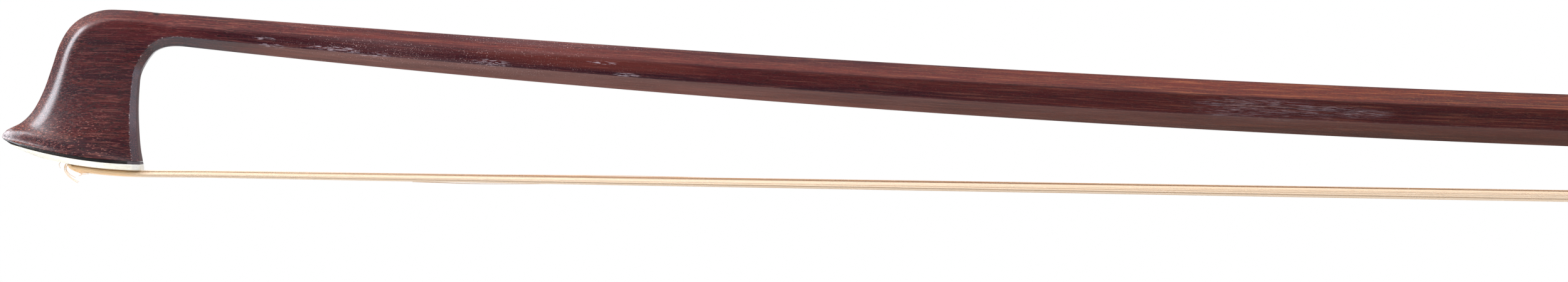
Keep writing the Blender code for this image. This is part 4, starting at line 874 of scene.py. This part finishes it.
def make_hair():
    rng = random.Random(7)
    path = hair_path()
    bm = bmesh.new()
    layer = bm.verts.layers.float.new("strand")
    radius = 0.00010
    lanes = []
    levels, columns = 7, 30
    for level in range(levels):
        for k in range(columns):
            across = (k + 0.5 + rng.uniform(-0.4, 0.4)) / columns * 2 - 1
            deep = (level + 0.5 + rng.uniform(-0.35, 0.35)) / levels * 2 - 1
            lanes.append((across, deep * math.sqrt(1 - abs(across) ** 5)))
    core = []
    for i, (x, z, width, thick) in enumerate(path):
        way = direction(path, i)
        half, deep = width / 2 - CORE_INSET, max(thick / 2 - CORE_INSET, 0.00008)
        inner = half * 0.85
        outline = [(-half, 0), (-inner, -deep), (inner, -deep), (half, 0), (inner, deep), (-inner, deep)]
        core.append([Vector((x - way.y * d, a, z + way.x * d)) for a, d in outline])
    add_tube(bm, layer, core, 0.8)
    lanes += OUTER_STRANDS
    for across, deep in lanes:
        drift, lift = rng.uniform(-0.05, 0.05), rng.uniform(-0.12, 0.12)
        phase = rng.uniform(0, 6.28)
        points = []
        for i, (x, z, width, thick) in enumerate(path):
            way = direction(path, i)
            out = Vector((-way.y, way.x))
            free = min(1, 0.2 + max(min(x - FREE_FROM, FREE_TO - x), 0) / 0.05)
            a = max(-1, min(1, across + free * drift * math.sin(x * 13 + phase)))
            d = deep if deep > 1 else max(-1, min(1, deep + free * lift * math.sin(x * 18 + phase)))
            half = max(thick / 2 - radius, 0.0001)
            points.append(Vector((x + out.x * d * half, a * (width / 2 - radius), z + out.y * d * half)))
        own = rng.uniform(0.70, 1.0)
        shades = own
        if deep > 1:
            shades = [own * (1 - min(max((point.x - DARK_FROM) / 0.03, 0), 1)) for point in points]
        add_tube(bm, layer, tube(points, radius), shades)
    hair = hair_object("hair_strands", bm, HAIR)
    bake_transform(hair)
    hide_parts("hair_ribbon")


def make_knot(name, node, body, centre_xz, half):
    """The tied end of the hair: a bundle whipped with thread, sealed at the cut."""
    rng = random.Random(11)
    bm = bmesh.new()
    layer = bm.verts.layers.float.new("strand")
    x, z = centre_xz
    for k in range(26):
        angle, away = 2.4 * k, 0.00072 * math.sqrt((k + 0.5) / 26)
        end_x, end_z = x + away * math.cos(angle), z + away * math.sin(angle)
        points = [Vector((end_x, -half + 2 * half * j / 6, end_z)) for j in range(7)]
        add_tube(bm, layer, tube(points, 0.00012), rng.random())
    turns, steps = 9, 20
    points = []
    for j in range(turns * steps + 1):
        angle = 2 * math.pi * j / steps
        y = -half * 0.45 + half * 0.9 * j / (turns * steps)
        points.append(Vector((x + 0.00085 * math.cos(angle), y, z + 0.00085 * math.sin(angle))))
    add_tube(bm, layer, tube(points, 0.00008), 1.0)
    knot = hair_object(name, bm, LOOSE_HAIR)
    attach(knot, body)
    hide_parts(node)


def make_loose_hair():
    """Broken hairs that hang out of the head mortise, and a few along the band."""
    rng = random.Random(3)
    bm = bmesh.new()
    layer = bm.verts.layers.float.new("strand")

    def strand(places, y, spread, radius, shade):
        """A hair through places in millimetres, which moves sideways by spread and thins to its end."""
        points = []
        for k, (s, h) in enumerate(places):
            x, z = head_point((s / 1000, h / 1000))
            points.append((x, y + spread * k / (len(places) - 1), z))
        path = [Vector(point) for point in refine(points, 4)]
        add_tube(bm, layer, tube(path, radius, lambda t: 1 - 0.55 * t), shade)

    strand(((10.9, 1.7), (10.45, 0.9), (10.55, 0.1), (11.3, -0.8), (12.7, -1.75)), -0.0012, -0.0009, 0.00008, 0.1)
    strand(((11.0, 1.6), (10.6, 0.6), (10.9, -0.2), (11.7, -1.0), (12.9, -1.55)), -0.0004, -0.0016, 0.00007, 0.2)
    strand(((10.9, 1.9), (10.3, 1.2), (10.4, 0.4), (11.0, -0.4), (11.9, -0.9)), 0.0010, 0.0008, 0.00007, 0.9)
    strand(((10.8, 2.0), (9.9, 1.7), (9.5, 1.2), (9.8, 0.6)), -0.0006, -0.0010, 0.00006, 0.95)
    strand(((11.6, 1.1), (11.9, 0.4), (13.0, 0.0), (14.6, -0.05), (15.6, 0.1)), -0.0019, -0.0008, 0.00009, 0.95)
    strand(((11.9, 1.0), (12.3, 0.3), (13.4, -0.25), (14.5, -0.2)), -0.0010, -0.0014, 0.00008, 1.0)
    strand(((12.2, 0.9), (12.8, 0.1), (13.2, -0.3), (12.7, -0.6)), 0.0005, -0.0010, 0.00007, 1.0)
    strand(((13.0, 0.8), (15.0, 0.1), (17.5, -0.1), (19.5, 0.05)), -0.0022, -0.0006, 0.00008, 0.9)
    for _ in range(16):
        s, y = rng.uniform(60, 600), rng.uniform(-0.0026, 0.0026)
        length, lift = rng.uniform(14, 46), rng.choice((-1, 1)) * rng.uniform(0.12, 0.42)
        base = -0.66 if lift < 0 else 0.60
        places = [(s + length * k / 5, base + lift * math.sin(math.pi * k / 5)) for k in range(6)]
        strand(places, y, 0.0004, 0.00007, rng.random())
    loose = hair_object("loose_hairs", bm, LOOSE_HAIR)
    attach(loose, STICK_SIDE)


# The grip


def octagon_radius(angle, width, ease):
    off = (angle + EIGHTH) % (2 * EIGHTH) - EIGHTH
    sharp = 1 / math.cos(off)
    return width / 2 * (sharp + (1.02 - sharp) * ease)


def make_leather():
    front, rear, edge = -0.0882, -0.0622, 0.0006
    bore = HANDLE_FLATS + 2 * GLUE_GAP
    full = bore + 0.0022
    sections = [(rear, bore, 0.0, 0.0), (rear - 0.00002, bore + 0.0008, 0.2, 0.3)]
    for k in range(7):
        a = math.pi / 2 * k / 6
        sections.append((rear - edge * (1 - math.cos(a)), full - 2 * edge * (1 - math.sin(a)), 0.4, 1.0 - 0.1 * k))
    for k in range(1, 25):
        x = rear - edge + (front - rear + 2 * edge) * k / 25
        belly = 0.00005 * math.sin(k * 1.9)
        sections.append((x, full + belly, 0.4, 0.25 if k < 3 or k > 22 else 0.0))
    for k in range(7):
        a = math.pi / 2 * (1 - k / 6)
        sections.append((front + edge * (1 - math.cos(a)), full - 2 * edge * (1 - math.sin(a)), 0.4, 0.4 + 0.1 * k))
    sections += [(front, bore + 0.0008, 0.2, 0.3), (front, bore, 0.0, 0.0)]
    bm = bmesh.new()
    layer = bm.verts.layers.float.new("wear")
    loops = []
    sides = 96
    for x, width, ease, wear in sections:
        loop = []
        for k in range(sides):
            angle = 2 * math.pi * k / sides
            radius = octagon_radius(angle, width, ease)
            seam = math.exp(-((angle - math.pi / 2 * 1.02) / 0.035) ** 2)
            outside = 1.0 if width > bore + 0.001 else 0.0
            radius -= 0.00022 * seam * outside
            vert = bm.verts.new(tilted(x, radius * math.cos(angle), radius * math.sin(angle), TILT))
            vert[layer] = min(1.0, wear + 0.35 * seam * outside)
            loop.append(vert)
        loops.append(loop)
    bridge(bm, loops + loops[:1])
    sleeve = to_object("thumb_leather_sleeve", bm)
    smooth(sleeve, 50)
    finish(sleeve, LEATHER)
    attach(sleeve, STICK_SIDE)
    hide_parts("thumb_leather")


MEAN_RADIUS = 0.0048  # of the winding
# Across the strip: share of its width, share of its thickness
STRIP_OUTLINE = ((0.0, 0.0), (0.0, 0.6), (0.05, 0.92), (0.25, 1.0), (0.5, 1.0), (0.75, 1.0), (0.95, 0.92),
                 (1.0, 0.6), (1.0, 0.0))


def make_lapping():
    start, pitch, strip, thick, turns, steps = -0.08825, 0.0035, 0.00305, 0.0004, 20, 48
    inner = HANDLE_FLATS + 2 * GLUE_GAP
    bm = bmesh.new()
    layer = bm.verts.layers.float_vector.new("strip")
    loops = []
    for k in range(turns * steps + 1):
        angle = math.radians(7.5) + 2 * math.pi * k / steps
        rear = start - pitch * k / steps
        low = octagon_radius(angle, inner, 0.0)
        high = octagon_radius(angle, inner + 2 * thick, 0.25)
        loop = []
        for share, rise in STRIP_OUTLINE:
            radius = low + (high - low) * rise
            y, z = radius * math.cos(angle), radius * math.sin(angle)
            vert = bm.verts.new(tilted(rear - strip * share, y, z, TILT))
            vert[layer] = Vector((angle * MEAN_RADIUS / strip, share, 0))
            loop.append(vert)
        loops.append(loop)
    bridge(bm, loops)
    bm.faces.new(loops[0])
    bm.faces.new(loops[-1])
    lapping = to_object("lapping_strip", bm)
    smooth(lapping, 40)
    finish(lapping, BALEEN)
    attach(lapping, STICK_SIDE)
    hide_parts("stick_lapping")


# Pieces

stick = make_stick()
finish(stick, PERNAMBUCO)
liner = make_tip_layer("tip_liner_ebony", "tip_liner", GLUE_GAP, LINER)
finish(liner, LINER_EBONY)
plate = make_tip_layer("tip_plate_bone", "tip_plate", LINER + GLUE_GAP, TIP_LAYERS)
finish(plate, BONE)
make_hair()
make_knot("knot_in_head", "hair_tip_knot", STICK_SIDE, head_point((0.01165, 0.0058)), 0.0024)
make_knot("knot_in_frog", "hair_frog_knot", FROG_SIDE, frog_point(0.0145, 0.0106), 0.0049)
make_loose_hair()
make_leather()
make_lapping()

FINISHES = {
    "pernambuco": PERNAMBUCO, "ebony": EBONY, "bone": BONE, "maple": MAPLE, "silver": SILVER,
    "brass": BRASS, "steel": STEEL, "nacre": NACRE, "horsehair": HAIR, "leather": LEATHER, "baleen": BALEEN,
}
EASED = {"frog_body": 0.00022, "ferrule": 0.00010, "heel_plate_back": 0.00012, "heel_plate_bottom": 0.00010,
         "button_core": 0.00010, "button_front_ring": 0.00008, "button_rear_ring": 0.00008, "pearl_slide": 0.00006,
         "eye_ring_near": 0.00006, "eye_ring_far": 0.00006, "eye_pearl_near": 0.00008, "eye_pearl_far": 0.00008,
         "button_pearl": 0.00008, "underslide": 0.00005}


def rounded_shading(degrees):
    """Node group for a modifier: round faces shade smoothly, edges sharper than the angle stay crisp."""
    group = bpy.data.node_groups.new("rounded_shading", "GeometryNodeTree")
    for way in ("INPUT", "OUTPUT"):
        group.interface.new_socket("Geometry", in_out=way, socket_type="NodeSocketGeometry")
    start, end = group.nodes.new("NodeGroupInput"), group.nodes.new("NodeGroupOutput")
    faces, edges = (group.nodes.new("GeometryNodeSetShadeSmooth") for _ in range(2))
    angle, sharp = group.nodes.new("GeometryNodeInputMeshEdgeAngle"), group.nodes.new("FunctionNodeCompare")
    edges.domain, edges.inputs["Shade Smooth"].default_value = "EDGE", False
    sharp.operation, sharp.inputs["B"].default_value = "GREATER_THAN", math.radians(degrees)
    for a, b in ((start.outputs[0], faces.inputs["Geometry"]), (faces.outputs[0], edges.inputs["Geometry"]),
                 (angle.outputs["Unsigned Angle"], sharp.inputs["A"]), (sharp.outputs[0], edges.inputs["Selection"]),
                 (edges.outputs[0], end.inputs[0])):
        group.links.new(a, b)
    return group


ROUNDED = rounded_shading(33)
for entry in frame["record"]["subparts"]:
    node = frame["nodes"][entry["node"]]
    for slot in node.material_slots:
        slot.material = FINISHES[entry["material_slot"]]
    node.modifiers.new("welded", "WELD").merge_threshold = 2e-6
    whole = node.modifiers.new("whole_faces", "DECIMATE")
    whole.decimate_type, whole.angle_limit = "DISSOLVE", math.radians(0.5)
    if entry["node"] in EASED:
        ease = node.modifiers.new("eased", "BEVEL")
        ease.width, ease.segments, ease.limit_method = EASED[entry["node"]], 2, "ANGLE"
        ease.angle_limit = math.radians(32)
    node.modifiers.new("rounded", "NODES").node_group = ROUNDED
    node.modifiers.new("weighted", "WEIGHTED_NORMAL").keep_sharp = True

# Light, floor and camera

world = bpy.data.worlds.new("studio")
bpy.context.scene.world = world
world.use_nodes = True
world.node_tree.nodes.clear()
sky = Nodes(world.node_tree)

# A white backdrop behind the object, pale above and below, dark on the camera's side and bright past the frog.
way = sky.node("ShaderNodeSeparateXYZ", {0: sky.node("ShaderNodeTexCoord").outputs["Generated"]}).outputs
above = sky.ramp(way["Z"], 0.38, 0.62, 0.30, 1.25)
front = sky.times(sky.ramp(way["Z"], 0.42, 0.58, 0.0, 1.2), sky.ramp(way["Z"], 0.92, 0.74, 0.0, 1.0))
front = sky.times(front, sky.ramp(way["Y"], 0.10, -0.35, 0.0, 1.0))
below = sky.ramp(way["Z"], -0.30, -0.70, 0.0, 0.90)
behind = sky.ramp(way["Y"], 0.10, 0.55, 0.0, 1.0)
beyond = sky.ramp(way["X"], 0.75, 0.98, 0.0, 1.75)
level = sky.plus(sky.most(sky.most(above, below), behind), front)
warm = sky.plus(level, sky.times(beyond, 0.88))
cool = sky.plus(level, sky.times(beyond, 1.30))
grey = sky.node("ShaderNodeCombineColor", {0: warm, 1: sky.plus(level, beyond), 2: cool}).outputs[0]
studio = sky.node("ShaderNodeBackground", {"Color": grey, "Strength": 0.92})
white = sky.node("ShaderNodeBackground", {"Color": (1, 1, 1, 1)})
ray = sky.node("ShaderNodeLightPath").outputs
mirrored = sky.times(sky.most(ray["Is Glossy Ray"], ray["Is Transmission Ray"]), behind)
seen = sky.most(ray["Is Camera Ray"], mirrored)
choose = sky.node("ShaderNodeMixShader", {0: seen, 1: studio, 2: white})
sky.node("ShaderNodeOutputWorld", {"Surface": choose})

# A window 1 m from the head, between two directions: (degrees left of the camera, degrees up)
HEAD_AT, WINDOW_ENDS = Vector((-0.732, 0, -0.012)), ((67, 6), (50, 42))
ends = []
for turn, rise in WINDOW_ENDS:
    turn, rise = math.radians(turn), math.radians(rise)
    ends.append(Vector((-math.sin(turn) * math.cos(rise), -math.cos(turn) * math.cos(rise), math.sin(rise))))
length, away = ends[1] - ends[0], (ends[0] + ends[1]).normalized()
tall = (length - away * length.dot(away)).normalized()
light = bpy.data.lights.new("window", "AREA")
light.shape, light.size, light.size_y = "RECTANGLE", 0.40, length.length
light.energy, light.color = 13.6, (0.91, 0.93, 1.0)
lamp = bpy.data.objects.new("window", light)
turned = Matrix((tall.cross(away), tall, away)).transposed().to_4x4()
lamp.matrix_world = Matrix.Translation(HEAD_AT + away) @ turned
bpy.context.scene.collection.objects.link(lamp)

floor_bm = bmesh.new()
bmesh.ops.create_grid(floor_bm, x_segments=1, y_segments=1, size=1.1)
floor = to_object("floor", floor_bm, recalc=False)
floor.location = (-0.37, 0.5, -0.60)
pale = Shader("pale_floor")
pale.set(Base_Color=(0.88, 0.88, 0.88), Roughness=0.9)
glow = pale.node("ShaderNodeEmission", {"Color": (1.0, 1.0, 1.0), "Strength": 1.0})
bright = pale.node("ShaderNodeMixShader", {0: 0.5, 1: pale.shader, 2: glow})
clear = pale.node("ShaderNodeBsdfTransparent")
path = pale.node("ShaderNodeLightPath").outputs
back = pale.node("ShaderNodeNewGeometry").outputs["Backfacing"]
seen = pale.most(path["Is Glossy Ray"], path["Is Transmission Ray"])
seen = pale.most(path["Is Camera Ray"], seen)
lit = pale.node("ShaderNodeMixShader", {0: seen, 1: pale.shader, 2: bright})
both = pale.node("ShaderNodeMixShader", {0: back, 1: lit, 2: clear})
pale.put(pale.tree.nodes["Material Output"].inputs["Surface"], both)
finish(floor, pale.material)

PIXELS_PER_METRE, IMAGE_WIDTH, ROLL, LENS, SENSOR = 9750.0, 2500, 0.0162, 150.0, 36.0
view_width = IMAGE_WIDTH / PIXELS_PER_METRE
# The photograph's middle, behind the beak and above the hair
target = Vector((0.12784 - REACH, 0, HAIR_Z + 0.00698))
camera = bpy.data.objects.new("camera", bpy.data.cameras.new("camera"))
camera.data.lens, camera.data.sensor_width = LENS, SENSOR
camera.data.clip_start, camera.data.clip_end = 0.01, 50.0
camera.location = target + Vector((0, -view_width * LENS / SENSOR, 0))
camera.rotation_euler = (math.pi / 2, -ROLL, 0)
bpy.context.scene.collection.objects.link(camera)
bpy.context.scene.camera = camera
bpy.context.scene.view_settings.view_transform = "Standard"
